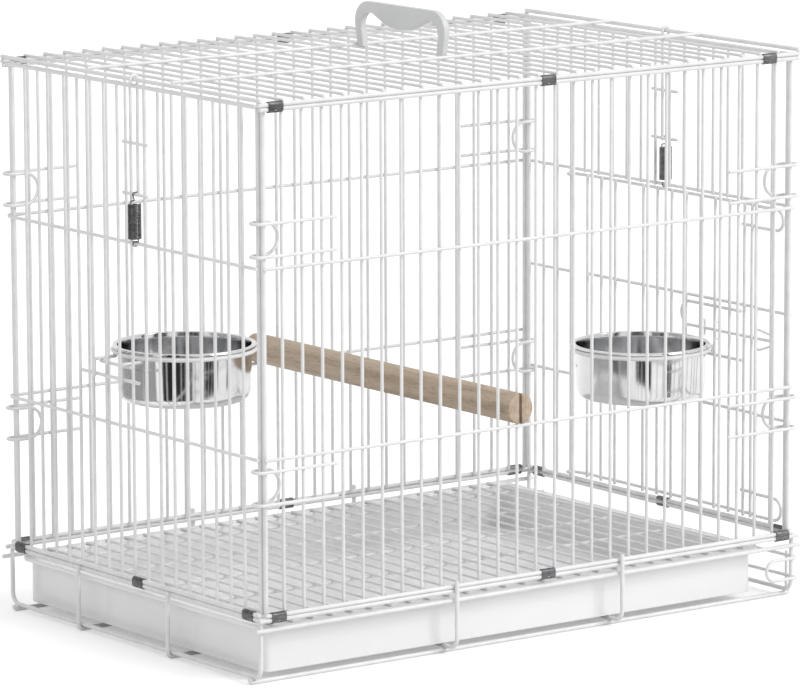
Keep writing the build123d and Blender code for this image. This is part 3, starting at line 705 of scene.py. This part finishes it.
def clip(centre, seam, along_x, s):
    """Strip drawn from its inner lip over the upper rail, down outside and under the lower rail."""
    high = RAIL_R + CLIP_R

    def at(u, w):
        return (centre, s * (RAIL_Y + u), seam + w) if along_x else (s * (RAIL_X + u), centre, seam + w)

    path = [at(-CLIP_R, CLIP_LIP), at(-CLIP_R, high), at(CLIP_R, high),
            at(CLIP_R, -high), at(-CLIP_R, -high), at(-CLIP_R, -CLIP_LIP)]
    deselect()
    size = (CLIP_LENGTH, CLIP_THICK, 1) if along_x else (CLIP_THICK, CLIP_LENGTH, 1)
    bpy.ops.mesh.primitive_plane_add(size=1, location=Vector(path[0]) * MM)
    strip = bpy.context.object
    strip.scale = Vector(size) * MM
    settle()
    edit(strip, "FACE")
    bpy.ops.mesh.select_all(action="SELECT")
    bpy.ops.mesh.delete(type="ONLY_FACE")
    bpy.ops.mesh.select_mode(type="VERT")
    bpy.ops.mesh.select_all(action="SELECT")
    draw_through(path, (CLIP_R,) * 4)
    close_up()
    deselect()
    outward = Vector(at(1, 0)) - Vector(at(0, 0))
    notch = Vector(at(CLIP_R, CLIP_NOTCH_RISE - high)) * MM
    bpy.ops.mesh.primitive_cylinder_add(vertices=24, radius=CLIP_NOTCH_R * MM, depth=2 * CLIP_THICK * MM,
                                        location=notch, rotation=turned_to(outward))
    cut_away(strip, settle())
    soften(strip, CLIP_EASE, 2, SHARP)
    return strip


def clip_row(name, node, centres, seam, along_x, s):
    """The clips of one seam as one piece."""
    strips = [clip(c, seam, along_x, s) for c in centres]
    finished(name, strips, node, CLIP_STEEL, 30)


def clips():
    upper = (-CLIP_END_X, CLIP_MIDDLE, CLIP_TOP_RIGHT_X)
    lower = (-CLIP_END_X, CLIP_MIDDLE, CLIP_END_X)
    ends = (-CLIP_END_Y, -CLIP_MIDDLE, CLIP_END_Y)
    for side, s in (("front", -1), ("back", 1)):
        clip_row("upper_%s_clips" % side, "top_%s_clips" % side, upper, TOP_SEAM_Z, True, s)
        clip_row("lower_%s_clips" % side, "bottom_%s_clips" % side, lower, SEAM_Z, True, s)
    for side, s in (("left", -1), ("right", 1)):
        clip_row("lower_%s_clips" % side, "bottom_%s_clips" % side, ends, SEAM_Z, False, s)


# Sprung latches that hook each end panel to the top

LATCH_Y = -8.5
RUNG_X = END_X + BAR_R + SLIDE_GAP + LATCH_R
ROD_X = RUNG_X - 2 * LATCH_R
RUNG_LEVELS = (327.0, 363.3)
RUNG_HALF = 15.5
ROD_LEAN_Z = (385.0, 393.0)
ROD_BEND = 20.0
LATCH_HOOK_R = 3.0
LATCH_TIP_Z = TOP_END_Z - 3.4


def latch(side, s):
    """Rod that leans out under the top's rail and hooks over it, with two finger rungs."""
    near = RAIL_X - LATCH_HOOK_R
    far = RAIL_X + LATCH_HOOK_R
    top = TOP_END_Z + LATCH_HOOK_R
    path = [(ROD_X, RUNG_LEVELS[0] - LATCH_R), (ROD_X, ROD_LEAN_Z[0]), (near, ROD_LEAN_Z[1]), (near, top),
            (far, top), (far, LATCH_TIP_Z)]
    bends = (ROD_BEND, ROD_BEND, LATCH_HOOK_R, LATCH_HOOK_R)
    parts = [bent_wire([(s * x, LATCH_Y, z) for x, z in path], bends, LATCH_R)]
    for z in RUNG_LEVELS:
        parts.append(across(s * RUNG_X, LATCH_Y - RUNG_HALF, LATCH_Y + RUNG_HALF, z, LATCH_R))
        parts.append(weld_spot((s * (ROD_X + LATCH_R), LATCH_Y, z), RUNG_WELD))
    wirework(side + "_latch_rod", parts, side + "_latch")


SPRING_R = 4.5
SPRING_WIRE_R = 0.45
SPRING_TURNS = 27
SPRING_LOW = 295.3
SPRING_OUT = 0.9
SPRING_PITCH = 2.06 * SPRING_WIRE_R
SPRING_SIDES = 8
SPRING_STEPS = 20


def latch_spring(side, s):
    """Close-wound tension spring with a hook at each end, from the cross wire to the latch's rung."""
    high = SPRING_LOW + SPRING_PITCH * SPRING_TURNS
    x = s * (RUNG_X + SPRING_OUT)
    deselect()
    bpy.ops.mesh.primitive_circle_add(vertices=SPRING_SIDES, radius=SPRING_WIRE_R * MM,
                                      location=(SPRING_R * MM, 0, SPRING_LOW * MM),
                                      rotation=(math.pi / 2, 0, 0))
    coil = settle()
    wind = coil.modifiers.new("wind", "SCREW")
    wind.axis = "Z"
    wind.angle = 2 * math.pi * SPRING_TURNS
    wind.screw_offset = SPRING_PITCH * SPRING_TURNS * MM
    wind.steps = SPRING_STEPS * SPRING_TURNS
    wind.render_steps = wind.steps
    bpy.ops.object.modifier_apply(modifier=wind.name)
    coil.location = Vector((x, LATCH_Y, 0)) * MM
    deselect()
    coil.select_set(True)
    settle()
    edit(coil, "VERT")
    close_up()
    top = RUNG_LEVELS[0] + LATCH_R + SPRING_WIRE_R
    hook = [(0, SPRING_R, high - 0.5), (0, SPRING_R, high + 1.6), (0, 0, high + 2.4),
            (1.8, 0, top), (-3.4, 0, top), (-3.4, 0, top - 3.2)]
    bottom = CROSS_LEVELS[1] - CROSS_R - SPRING_WIRE_R
    foot = [(0, -SPRING_R, SPRING_LOW + 0.5), (0, -SPRING_R, SPRING_LOW - 1.2), (1.6, 0, SPRING_LOW - 1.6),
            (1.6, 0, bottom), (-3.0, 0, bottom), (-3.0, 0, bottom + 2.8)]
    parts = [coil]
    for path, bends in ((hook, (0.7, 1.0, 1.5, 1.5)), (foot, (0.5, 0.8, 1.3, 1.3))):
        spots = [(x + s * out, LATCH_Y + y, z) for out, y, z in path]
        parts.append(bent_wire(spots, bends, SPRING_WIRE_R, SPRING_SIDES))
    finished(side + "_tension_spring", parts, side + "_latch_spring", SPRING_STEEL)


# Tray gate, side door and its bolt

CURL_TURN = 240
GATE_LEVELS = (14.4, 29.6)
GATE_CURL_R = RAIL_R + CROSS_R + 0.2
GATE_FACE_X = RAIL_X + GATE_CURL_R
GATE_END_X = 222.0
GATE_BAR_Y = 146.5
GATE_BAR_ENDS = (3.6, 32.3)


def curl_corners(centre, radius, start, turn):
    """Corners of thirds of a curl, so that each third spins about the same centre."""
    step = turn / 3
    reach = radius / math.cos(math.radians(step / 2))
    angles = [math.radians(start + step * (i + 0.5)) for i in range(3)]
    return [(centre[0] + reach * math.cos(a), centre[1] + reach * math.sin(a)) for a in angles]


def on_circle(centre, radius, angle):
    a = math.radians(angle)
    return (centre[0] + radius * math.cos(a), centre[1] + radius * math.sin(a))


def tray_gate():
    """One wire curled round the far post twice, closed by a round turn at its free end, and three bars."""
    low, high = GATE_LEVELS
    curl = GATE_CURL_R
    side = -POST_Y - curl
    hinge = (RAIL_X, POST_Y)
    run = [on_circle(hinge, curl, CURL_TURN)] + curl_corners(hinge, curl, CURL_TURN, -CURL_TURN)
    run.append((GATE_FACE_X, side))
    reach = (high - low) / 2
    path = [(x, y, high) for x, y in run]
    path += [(GATE_END_X - reach, side, z) for z in (high, low)]
    path += [(x, y, low) for x, y in reversed(run)]
    bends = (curl,) * 4 + (reach,) * 2 + (curl,) * 4
    parts = [bent_wire(path, bends, CROSS_R)]
    x = GATE_FACE_X + CROSS_R + 2 * BAR_R - BAR_COATED_R
    bar = straight_wire((x, -GATE_BAR_Y, GATE_BAR_ENDS[0]), (x, -GATE_BAR_Y, GATE_BAR_ENDS[1]), BAR_COATED_R)
    parts.append(row_of(bar, 3, (0, GATE_BAR_Y, 0)))
    for z in GATE_LEVELS:
        parts.append(weld_row((GATE_FACE_X + CROSS_R, -GATE_BAR_Y, z), 3, (0, GATE_BAR_Y, 0), GATE_WELD))
    wirework("tray_gate_wires", parts, "tray_gate")


WIRE_X = DOOR_X + BAR_R + CROSS_R
STOP_X = END_X + BAR_R + CROSS_R + REST_GAP
DOOR_CURL_R = BAR_R + CROSS_R + 0.08
DOOR_BEND = 3.0
HINGE_Y = 6 * PITCH
DOOR_FAR_Y = 5 * PITCH + 1
DOOR_EDGE_Y = -110.5
DOOR_TURN_Y = DOOR_EDGE_Y - 1.5
STOP_Y = -117.2
STOP_END_Y = -146.5
LEG_END_Y = -96.5
DOOR_LOW = 54.5
DOOR_HIGH = 287.8
DOOR_BARS = 12


def door_run():
    """Plan of a door wire, from its curl on the hinge bar to its stop on the near bars."""
    curl = DOOR_CURL_R
    start = (WIRE_X - END_X, DOOR_FAR_Y - HINGE_Y)
    touch = math.degrees(math.atan2(start[1], start[0]) + math.acos(curl / math.hypot(*start)))
    hinge = (END_X, HINGE_Y)
    plan = [on_circle(hinge, curl, touch + CURL_TURN)]
    plan += curl_corners(hinge, curl, touch + CURL_TURN, -CURL_TURN)
    plan += [(WIRE_X, DOOR_FAR_Y), (WIRE_X, DOOR_TURN_Y), (STOP_X, STOP_Y)]
    return plan, (curl,) * 3 + (DOOR_BEND,) * 3


def door_rail(level, leg):
    """Top or bottom wire of the door, with its rounded stop and return leg."""
    plan, bends = door_run()
    reach = abs(level - leg) / 2
    path = [(x, y, level) for x, y in plan]
    path += [(STOP_X, STOP_END_Y, level), (STOP_X, STOP_END_Y, leg), (STOP_X, STOP_Y, leg),
             (WIRE_X, DOOR_TURN_Y, leg), (WIRE_X, LEG_END_Y, leg)]
    return bent_wire(path, bends + (reach, reach, DOOR_BEND, DOOR_BEND), CROSS_R)


def side_door():
    bottom = DOOR_LOW - 2.4
    top = DOOR_HIGH + 1.2
    bar = straight_wire((DOOR_X, -HINGE_Y, bottom), (DOOR_X, -HINGE_Y, top), BAR_COATED_R)
    parts = [row_of(bar, DOOR_BARS, (0, PITCH, 0)),
             straight_wire((DOOR_X, DOOR_EDGE_Y, bottom), (DOOR_X, DOOR_EDGE_Y, top), BAR_COATED_R),
             door_rail(DOOR_HIGH, DOOR_HIGH - 15.8), door_rail(DOOR_LOW, DOOR_LOW + 16.5)]
    for z in DOORWAY_LEVELS:
        parts.append(across(WIRE_X, DOOR_TURN_Y, DOOR_FAR_Y + 0.5, z, CROSS_R))
    for z in (DOOR_LOW, *DOORWAY_LEVELS, DOOR_HIGH):
        parts.append(weld_row((DOOR_X + BAR_R, -HINGE_Y, z), DOOR_BARS, (0, PITCH, 0), END_WELD))
    wirework("side_door_wires", parts, "side_door")


STAPLE_R = 0.9
STAPLE_BEND = 1.6
STAPLE_HALF = 6.5
STAPLE_Y = -4 * PITCH
BOLT_Z = 188.0
BOLT_X = DOOR_X + BAR_R + HOOK_R + SLIDE_GAP
BOLT_START_Y = -131.5
BOLT_TURN_Y = -26.2
BOLT_RISE = 18.0
STAPLE_X = BOLT_X + HOOK_R + SLIDE_GAP + STAPLE_R
KEEPER_Y = -7 * PITCH
KEEPER_NEAR_X = END_X + BAR_R + STAPLE_R
KEEPER_FAR_X = BOLT_X + HOOK_R + STAPLE_R + 0.2


def door_bolt():
    path = [(BOLT_START_Y, 0), (BOLT_TURN_Y, 0), (BOLT_TURN_Y, BOLT_RISE), (LEG_END_Y, BOLT_RISE)]
    wire = bent_wire([(BOLT_X, y, BOLT_Z + z) for y, z in path], (BOLT_RISE / 2,) * 2, HOOK_R)
    wirework("door_bolt_wire", [wire], "door_bolt")


def bolt_guides():
    """Two staples on the door that the bolt slides in, and the bent keeper on the end panel."""
    foot = DOOR_X + BAR_R
    path = [(foot, STAPLE_HALF), (STAPLE_X, STAPLE_HALF), (STAPLE_X, -STAPLE_HALF), (foot, -STAPLE_HALF)]
    staple = bent_wire([(x, STAPLE_Y, BOLT_Z + z) for x, z in path], (STAPLE_BEND,) * 2, STAPLE_R)
    wirework("bolt_staples", [row_of(staple, 2, (0, PITCH, 0))], "door_bolt_guides")
    half = [(KEEPER_NEAR_X, 1.4, 7.5), (KEEPER_NEAR_X, -2, 7.5), (KEEPER_FAR_X, -11.5, 3.4)]
    path = half + [(x, y, -z) for x, y, z in reversed(half)]
    keeper = bent_wire([(x, KEEPER_Y + y, BOLT_Z + z) for x, y, z in path], (2.5, 2.2, 2.2, 2.5), STAPLE_R)
    wirework("bolt_keeper", [keeper], "door_bolt_keeper")


# Bowls in their wire rings

RING_R = 51.5
RING_WIRE_R = 1.5
ROUND_SIDES = 96
BOWL_DEPTH = 38.6
ARM_BELOW_RAIL = 2.0
ARM_BEND = 2.2
FOOD_CENTRE = (-176.5, 25.5)
FOOD_RING_Z = 205.9
WATER_CENTRE = (183.0, -51.0)
WATER_RING_Z = 178.9
FOOD_RAIL = (-11.0, 62.0)
FOOD_RAIL_DROP = 13.8
WATER_RAIL = (-97.5, -23.5)
WATER_RAIL_DROP = 9.8


def turned(centre, outline):
    """Sheet metal turned about an upright axis: a ring drawn up and resized from point to point."""
    radius, height = outline[0]
    deselect()
    bpy.ops.mesh.primitive_circle_add(vertices=ROUND_SIDES, radius=radius * MM,
                                      location=Vector((*centre, height)) * MM)
    shell = settle()
    edit(shell, "VERT")
    bpy.ops.mesh.select_all(action="SELECT")
    for r, z in outline[1:]:
        bpy.ops.mesh.extrude_region_move(TRANSFORM_OT_translate={"value": (0, 0, (z - height) * MM)})
        bpy.ops.transform.resize(value=(r / radius, r / radius, 1),
                                 center_override=Vector((*centre, z)) * MM)
        radius, height = r, z
    close_up()
    return shell


def bowl(name, node, centre, ring_z):
    """Spun bowl: flat floor with a shallow ring, rounded heel, straight wall and rolled rim."""
    seat = ring_z + RING_WIRE_R + TURN_GAP
    floor = seat - BOWL_DEPTH
    heel = [(4, 0.6), (30, 0.6), (33, 0), (41, 0), (43.6, 0.6), (45.9, 2.3), (47.4, 4.6), (48, 7.4)]
    rim = [(48.6, -9), (49, -0.6), (49.5, 0), (51.2, 0.2), (51.9, 0.8), (52, 1.5), (51.6, 2.2), (50.6, 2.55),
           (49.4, 2.5), (48.5, 2.0), (48.2, 1.2), (48.1, -2), (47.7, -9)]
    well = [(47.1, 7.6), (46.4, 4.9), (45, 3.1), (43, 1.6), (40.6, 1.0), (34, 1.0), (31, 1.5), (4, 1.5)]
    outline = [(r, floor + z) for r, z in heel] + [(r, seat + z) for r, z in rim]
    outline += [(r, floor + z) for r, z in well]
    finished(name, [turned(centre, outline)], node, BOWL_STEEL, 35)


def bowl_holder(name, node, centre, ring_z, s, bar_x, arm, rail, drop):
    """Ring with two arms over the bars, which hold it between an outer and an inner rail."""
    arm_z = ring_z - RING_WIRE_R - CROSS_R
    outer_x = bar_x + BAR_R + CROSS_R + REST_GAP
    inner_x = bar_x - BAR_R - CROSS_R - REST_GAP
    down_x = outer_x + 2 * CROSS_R
    rail_z = ring_z - drop
    deselect()
    bpy.ops.mesh.primitive_torus_add(major_radius=RING_R * MM, minor_radius=RING_WIRE_R * MM,
                                     major_segments=ROUND_SIDES, minor_segments=12,
                                     location=Vector((*centre, ring_z)) * MM)
    parts = [settle()]
    for offset in (-arm, arm):
        y = centre[1] + offset
        start = abs(centre[0]) + math.sqrt(RING_R ** 2 - offset ** 2) - 1
        path = [(s * start, y, arm_z), (s * down_x, y, arm_z), (s * down_x, y, rail_z - ARM_BELOW_RAIL)]
        parts.append(bent_wire(path, (ARM_BEND,), CROSS_R))
        parts.append(weld_spot((s * (outer_x + CROSS_R), y, rail_z), HANGER_WELD))
        parts.append(weld_spot((s * (start + 1), y, arm_z + CROSS_R), ARM_WELD))
    parts.append(across(s * outer_x, rail[0], rail[1], rail_z, CROSS_R))
    half = arm + 3
    parts.append(across(s * inner_x, centre[1] - half, centre[1] + half, arm_z - 2 * CROSS_R, CROSS_R))
    wirework(name, parts, node)


# Tray, perch and handle

TRAY_LEFT = -237.5
TRAY_RIGHT = 216.0
TRAY_RIM_Y = 155.5
TRAY_TOP = 41.0
TRAY_BOTTOM = CROSS_RUN_Z + RAIL_R + TURN_GAP
TRAY_CORNER_R = 12.0
TRAY_LIP = 3.6
TRAY_WALL = 1.8
TRAY_INSET = 6.0
TRAY_EASE = 0.7
LEVEL = 0.9


def tray():
    """Moulded from its rim: walls drawn down inside a turned-over lip, then the well."""
    middle = (TRAY_LEFT + TRAY_RIGHT) / 2
    deselect()
    bpy.ops.mesh.primitive_plane_add(size=1, location=(middle * MM, 0, (TRAY_TOP - TRAY_LIP) * MM))
    shell = bpy.context.object
    shell.scale = ((TRAY_RIGHT - TRAY_LEFT) * MM, 2 * TRAY_RIM_Y * MM, 1)
    settle()
    edit(shell, "VERT")
    bpy.ops.mesh.select_all(action="SELECT")
    bpy.ops.mesh.bevel(offset=TRAY_CORNER_R * MM, segments=8, affect="VERTICES")
    bpy.ops.mesh.select_mode(type="FACE")
    bpy.ops.mesh.select_all(action="SELECT")
    pull(Vector((0, 0, TRAY_LIP * MM)))
    done()
    face_outward(shell)
    pick_faces(shell, lambda face: face.normal.z < -LEVEL)
    bpy.ops.mesh.inset(thickness=TRAY_WALL * MM)
    pull(Vector((0, 0, (TRAY_LIP - TRAY_WALL) * MM)))
    bpy.ops.mesh.inset(thickness=(TRAY_INSET - TRAY_WALL) * MM)
    pull(Vector((0, 0, (TRAY_BOTTOM - TRAY_TOP + TRAY_WALL) * MM)))
    done()
    pick_faces(shell, lambda face: face.normal.z > LEVEL and face.center.z > (TRAY_TOP - 0.1) * MM)
    bpy.ops.mesh.inset(thickness=(TRAY_INSET + TRAY_WALL) * MM)
    pull(Vector((0, 0, (TRAY_BOTTOM + TRAY_WALL - TRAY_TOP) * MM)))
    done()
    soften(shell, TRAY_EASE, 3, 40)
    finished("tray_moulding", [shell], "tray", TRAY_PLASTIC, 35)


PERCH_X = -PITCH
PERCH_R = 11.0
PERCH_Z = CROSS_LEVELS[0] + CROSS_R + PERCH_R
PERCH_HALF = SIDE_Y + 4.4
PERCH_EASE = 0.8
SLOT_WIDTH = 2.5


def perch():
    """Turned dowel with a slot sawn in each end, which sits over a bar of the side panels."""
    deselect()
    bpy.ops.mesh.primitive_cylinder_add(vertices=64, radius=PERCH_R * MM, depth=2 * PERCH_HALF * MM,
                                        location=Vector((PERCH_X, 0, PERCH_Z)) * MM,
                                        rotation=(math.pi / 2, 0, 0))
    dowel = settle()
    pick_faces(dowel, lambda face: len(face.vertices) > 4)
    bpy.ops.mesh.bevel(offset=PERCH_EASE * MM, segments=3, affect="EDGES")
    done()
    depth = PERCH_HALF - SIDE_Y + 1.5
    for s in (-1, 1):
        deselect()
        bpy.ops.mesh.primitive_cube_add(size=1, location=Vector((PERCH_X, s * PERCH_HALF, PERCH_Z)) * MM)
        saw = bpy.context.object
        saw.scale = Vector((SLOT_WIDTH, 2 * depth, 3 * PERCH_R)) * MM
        settle()
        cut_away(dowel, saw)
    finished("perch_dowel", [dowel], "perch", BEECH, 35)


HANDLE_THICK = 4.8
HANDLE_TOP = 443.0
HANDLE_HALF = 57.8
HANDLE_CORNER_R = 15.0
FOOT_Z = 409.1
FOOT_OUTER_Y = 51.1
FOOT_INNER_Y = 44.2
GRIP_LOW_Z = 425.3
GRIP_LOW_Y = 12.6
GRIP_HIGH = (50.7, 442.7)
INNER_CORNER_R = 10.5
GRIP_R = 50.0
FOOT_CORNER_R = 0.4
HANDLE_EASE = 0.6


def handle():
    """Flat arch with a full grip: half its outline is drawn, filled on both faces and mirrored."""
    outline = [(0, HANDLE_TOP), (HANDLE_HALF, HANDLE_TOP), (FOOT_OUTER_Y, FOOT_Z), (FOOT_INNER_Y, FOOT_Z),
               GRIP_HIGH, (GRIP_LOW_Y, GRIP_LOW_Z), (0, GRIP_LOW_Z)]
    bends = (HANDLE_CORNER_R, FOOT_CORNER_R, FOOT_CORNER_R, INNER_CORNER_R, GRIP_R)
    deselect()
    bpy.ops.mesh.primitive_plane_add(size=HANDLE_THICK * MM, location=(0, 0, HANDLE_TOP * MM))
    arch = settle()
    edit(arch, "VERT")
    bpy.ops.mesh.select_all(action="DESELECT")
    done()
    for vertex in arch.data.vertices:
        vertex.select = vertex.co.y < 0
    edit(arch, "VERT")
    bpy.ops.mesh.delete(type="VERT")
    bpy.ops.mesh.select_all(action="SELECT")
    bpy.ops.transform.translate(value=(0, -HANDLE_THICK / 2 * MM, 0))
    draw_through([(0, y, z) for y, z in outline], bends)
    done()
    for side in (-1, 1):
        edit(arch, "EDGE")
        bpy.ops.mesh.select_all(action="DESELECT")
        done()
        for line in arch.data.edges:
            a, b = (arch.data.vertices[i].co for i in line.vertices)
            line.select = a.x * side > MM and b.x * side > MM
        edit(arch, "EDGE")
        bpy.ops.mesh.edge_face_add()
        done()
    halves = arch.modifiers.new("halves", "MIRROR")
    halves.use_axis = (False, True, False)
    bpy.context.view_layer.objects.active = arch
    bpy.ops.object.modifier_apply(modifier=halves.name)
    face_outward(arch)
    soften(arch, HANDLE_EASE, 3, SHARP)
    finished("handle_arch", [arch], "handle", HANDLE_PLASTIC_PAINTED_SHADE, 35)


# Room, light and camera, with lengths in metres

FLOOR_R = 30.0
FLOOR_TONE = 0.8
FLOOR_GLOW = 0.32
SKY_ON_SURFACES = 0.85
SKY_SEEN = 1.0
KEY_STRENGTH = 1.4
KEY_WIDTH = 25
KEY_FROM = (0.45, -0.75, 0.62)
VIEW_TURN = 36.6
BOARD_REACH = 0.46
BOARD_TOP = 0.55
BOARDS = (("left_board", -44, -7, 0.03), ("right_board", 11, 40, 0.03),
          ("narrow_board", 62, 72, 0.05), ("grey_board", -104, -52, 0.42))
CAMERA_AT = (-2.4677, -3.3165, 0.9049)
CAMERA_AHEAD = (0.5879, 0.7909, -0.1696)
CAMERA_ROLL = 0.19
CAMERA_SENSOR = 36
CAMERA_LENS = 257.4


def seen_directly(tree):
    """1 for what the camera or a reflection sees, 0 for light on its way to other surfaces."""
    path = tree.nodes.new("ShaderNodeLightPath")
    seen = tree.nodes.new("ShaderNodeMath")
    seen.operation = "MAXIMUM"
    tree.links.new(path.outputs["Is Camera Ray"], seen.inputs[0])
    tree.links.new(path.outputs["Is Glossy Ray"], seen.inputs[1])
    return seen.outputs[0]


def stage_floor():
    """Pale floor that keeps the shadow, with a glow of its own that only shows directly."""
    deselect()
    bpy.ops.mesh.primitive_circle_add(vertices=64, radius=FLOOR_R, fill_type="NGON", location=(0, 0, 0))
    floor = settle()
    floor.name = "studio_floor"
    finish = bpy.data.materials.new("studio_floor_paint")
    finish.use_nodes = True
    tree = finish.node_tree
    shader = tree.nodes["Principled BSDF"]
    shader.inputs["Base Color"].default_value = (FLOOR_TONE, FLOOR_TONE, FLOOR_TONE, 1)
    shader.inputs["Roughness"].default_value = 1.0
    shader.inputs["Specular IOR Level"].default_value = 0.0
    glow = tree.nodes.new("ShaderNodeEmission")
    tree.links.new(spread(tree, seen_directly(tree), 0.0, FLOOR_GLOW), glow.inputs["Strength"])
    both = tree.nodes.new("ShaderNodeAddShader")
    tree.links.new(shader.outputs[0], both.inputs[0])
    tree.links.new(glow.outputs[0], both.inputs[1])
    tree.links.new(both.outputs[0], tree.nodes["Material Output"].inputs["Surface"])
    floor.data.materials.append(finish)


def studio_light():
    """White sky, and a wide soft sun from the front right."""
    world = bpy.data.worlds.new("studio")
    bpy.context.scene.world = world
    world.use_nodes = True
    tree = world.node_tree
    back = tree.nodes["Background"]
    back.inputs["Color"].default_value = (1, 1, 1, 1)
    level = spread(tree, seen_directly(tree), SKY_ON_SURFACES, SKY_SEEN)
    tree.links.new(level, back.inputs["Strength"])
    sun = bpy.data.lights.new("key", "SUN")
    sun.energy = KEY_STRENGTH
    sun.angle = math.radians(KEY_WIDTH)
    key = bpy.data.objects.new("key", sun)
    key.rotation_euler = turned_to(Vector(KEY_FROM))
    bpy.context.scene.collection.objects.link(key)


def studio_flags():
    """Dark and grey boards that only show in polished metal, as bands on the bowls."""
    ahead = math.radians(VIEW_TURN)
    toward = Vector((-math.sin(ahead), -math.cos(ahead), 0))
    right = Vector((math.cos(ahead), -math.sin(ahead), 0))
    for name, first, last, tone in BOARDS:
        start = math.radians(first)
        deselect()
        bpy.ops.mesh.primitive_circle_add(vertices=3, radius=0.01, location=(0, 0, BOARD_TOP))
        board = settle()
        edit(board, "VERT")
        bpy.ops.mesh.select_all(action="SELECT")
        bpy.ops.mesh.merge(type="CENTER")
        edge = toward * math.cos(start) + right * math.sin(start)
        bpy.ops.transform.translate(value=edge * BOARD_REACH)
        bpy.ops.mesh.extrude_region_move(TRANSFORM_OT_translate={"value": (0, 0, -BOARD_TOP)})
        bpy.ops.mesh.select_all(action="SELECT")
        bpy.ops.mesh.spin(steps=12, angle=math.radians(first - last), center=(0, 0, 0), axis=(0, 0, 1),
                          use_auto_merge=False)
        done()
        board.name = name
        paint = bpy.data.materials.new(name + "_cloth")
        paint.use_nodes = True
        glow = paint.node_tree.nodes.new("ShaderNodeEmission")
        glow.inputs["Color"].default_value = (tone, tone, tone, 1)
        out = paint.node_tree.nodes["Material Output"]
        paint.node_tree.links.new(glow.outputs[0], out.inputs["Surface"])
        board.data.materials.append(paint)
        board.visible_camera = False
        board.visible_diffuse = False
        board.visible_shadow = False


def camera():
    lens = bpy.data.cameras.new("camera")
    lens.sensor_width = CAMERA_SENSOR
    lens.lens = CAMERA_LENS
    lens.clip_end = 100
    view = bpy.data.objects.new("camera", lens)
    ahead = Vector(CAMERA_AHEAD)
    roll = Matrix.Rotation(math.radians(CAMERA_ROLL), 3, ahead)
    look = roll @ ahead.to_track_quat("-Z", "Y").to_matrix()
    view.matrix_world = Matrix.Translation(CAMERA_AT) @ look.to_4x4()
    bpy.context.scene.collection.objects.link(view)
    bpy.context.scene.camera = view


base_rails()
under_wires()
runner_wires()
side_panel("front_panel_wires", "front_panel", -1)
side_panel("back_panel_wires", "back_panel", 1)
top_panel()
left_end_panel()
right_end_panel()
floor_grate()
corner_hooks()
clips()
latch("left", -1)
latch("right", 1)
latch_spring("left", -1)
latch_spring("right", 1)
tray_gate()
side_door()
door_bolt()
bolt_guides()
bowl("food_bowl_shell", "food_bowl", FOOD_CENTRE, FOOD_RING_Z)
bowl("water_bowl_shell", "water_bowl", WATER_CENTRE, WATER_RING_Z)
bowl_holder("food_bowl_ring", "food_bowl_holder", FOOD_CENTRE, FOOD_RING_Z, -1, END_X, PITCH,
            FOOD_RAIL, FOOD_RAIL_DROP)
bowl_holder("water_bowl_ring", "water_bowl_holder", WATER_CENTRE, WATER_RING_Z, 1, DOOR_X, PITCH / 2,
            WATER_RAIL, WATER_RAIL_DROP)
tray()
perch()
handle()

stage_floor()
studio_light()
studio_flags()
camera()
bpy.context.scene.view_settings.view_transform = "Standard"
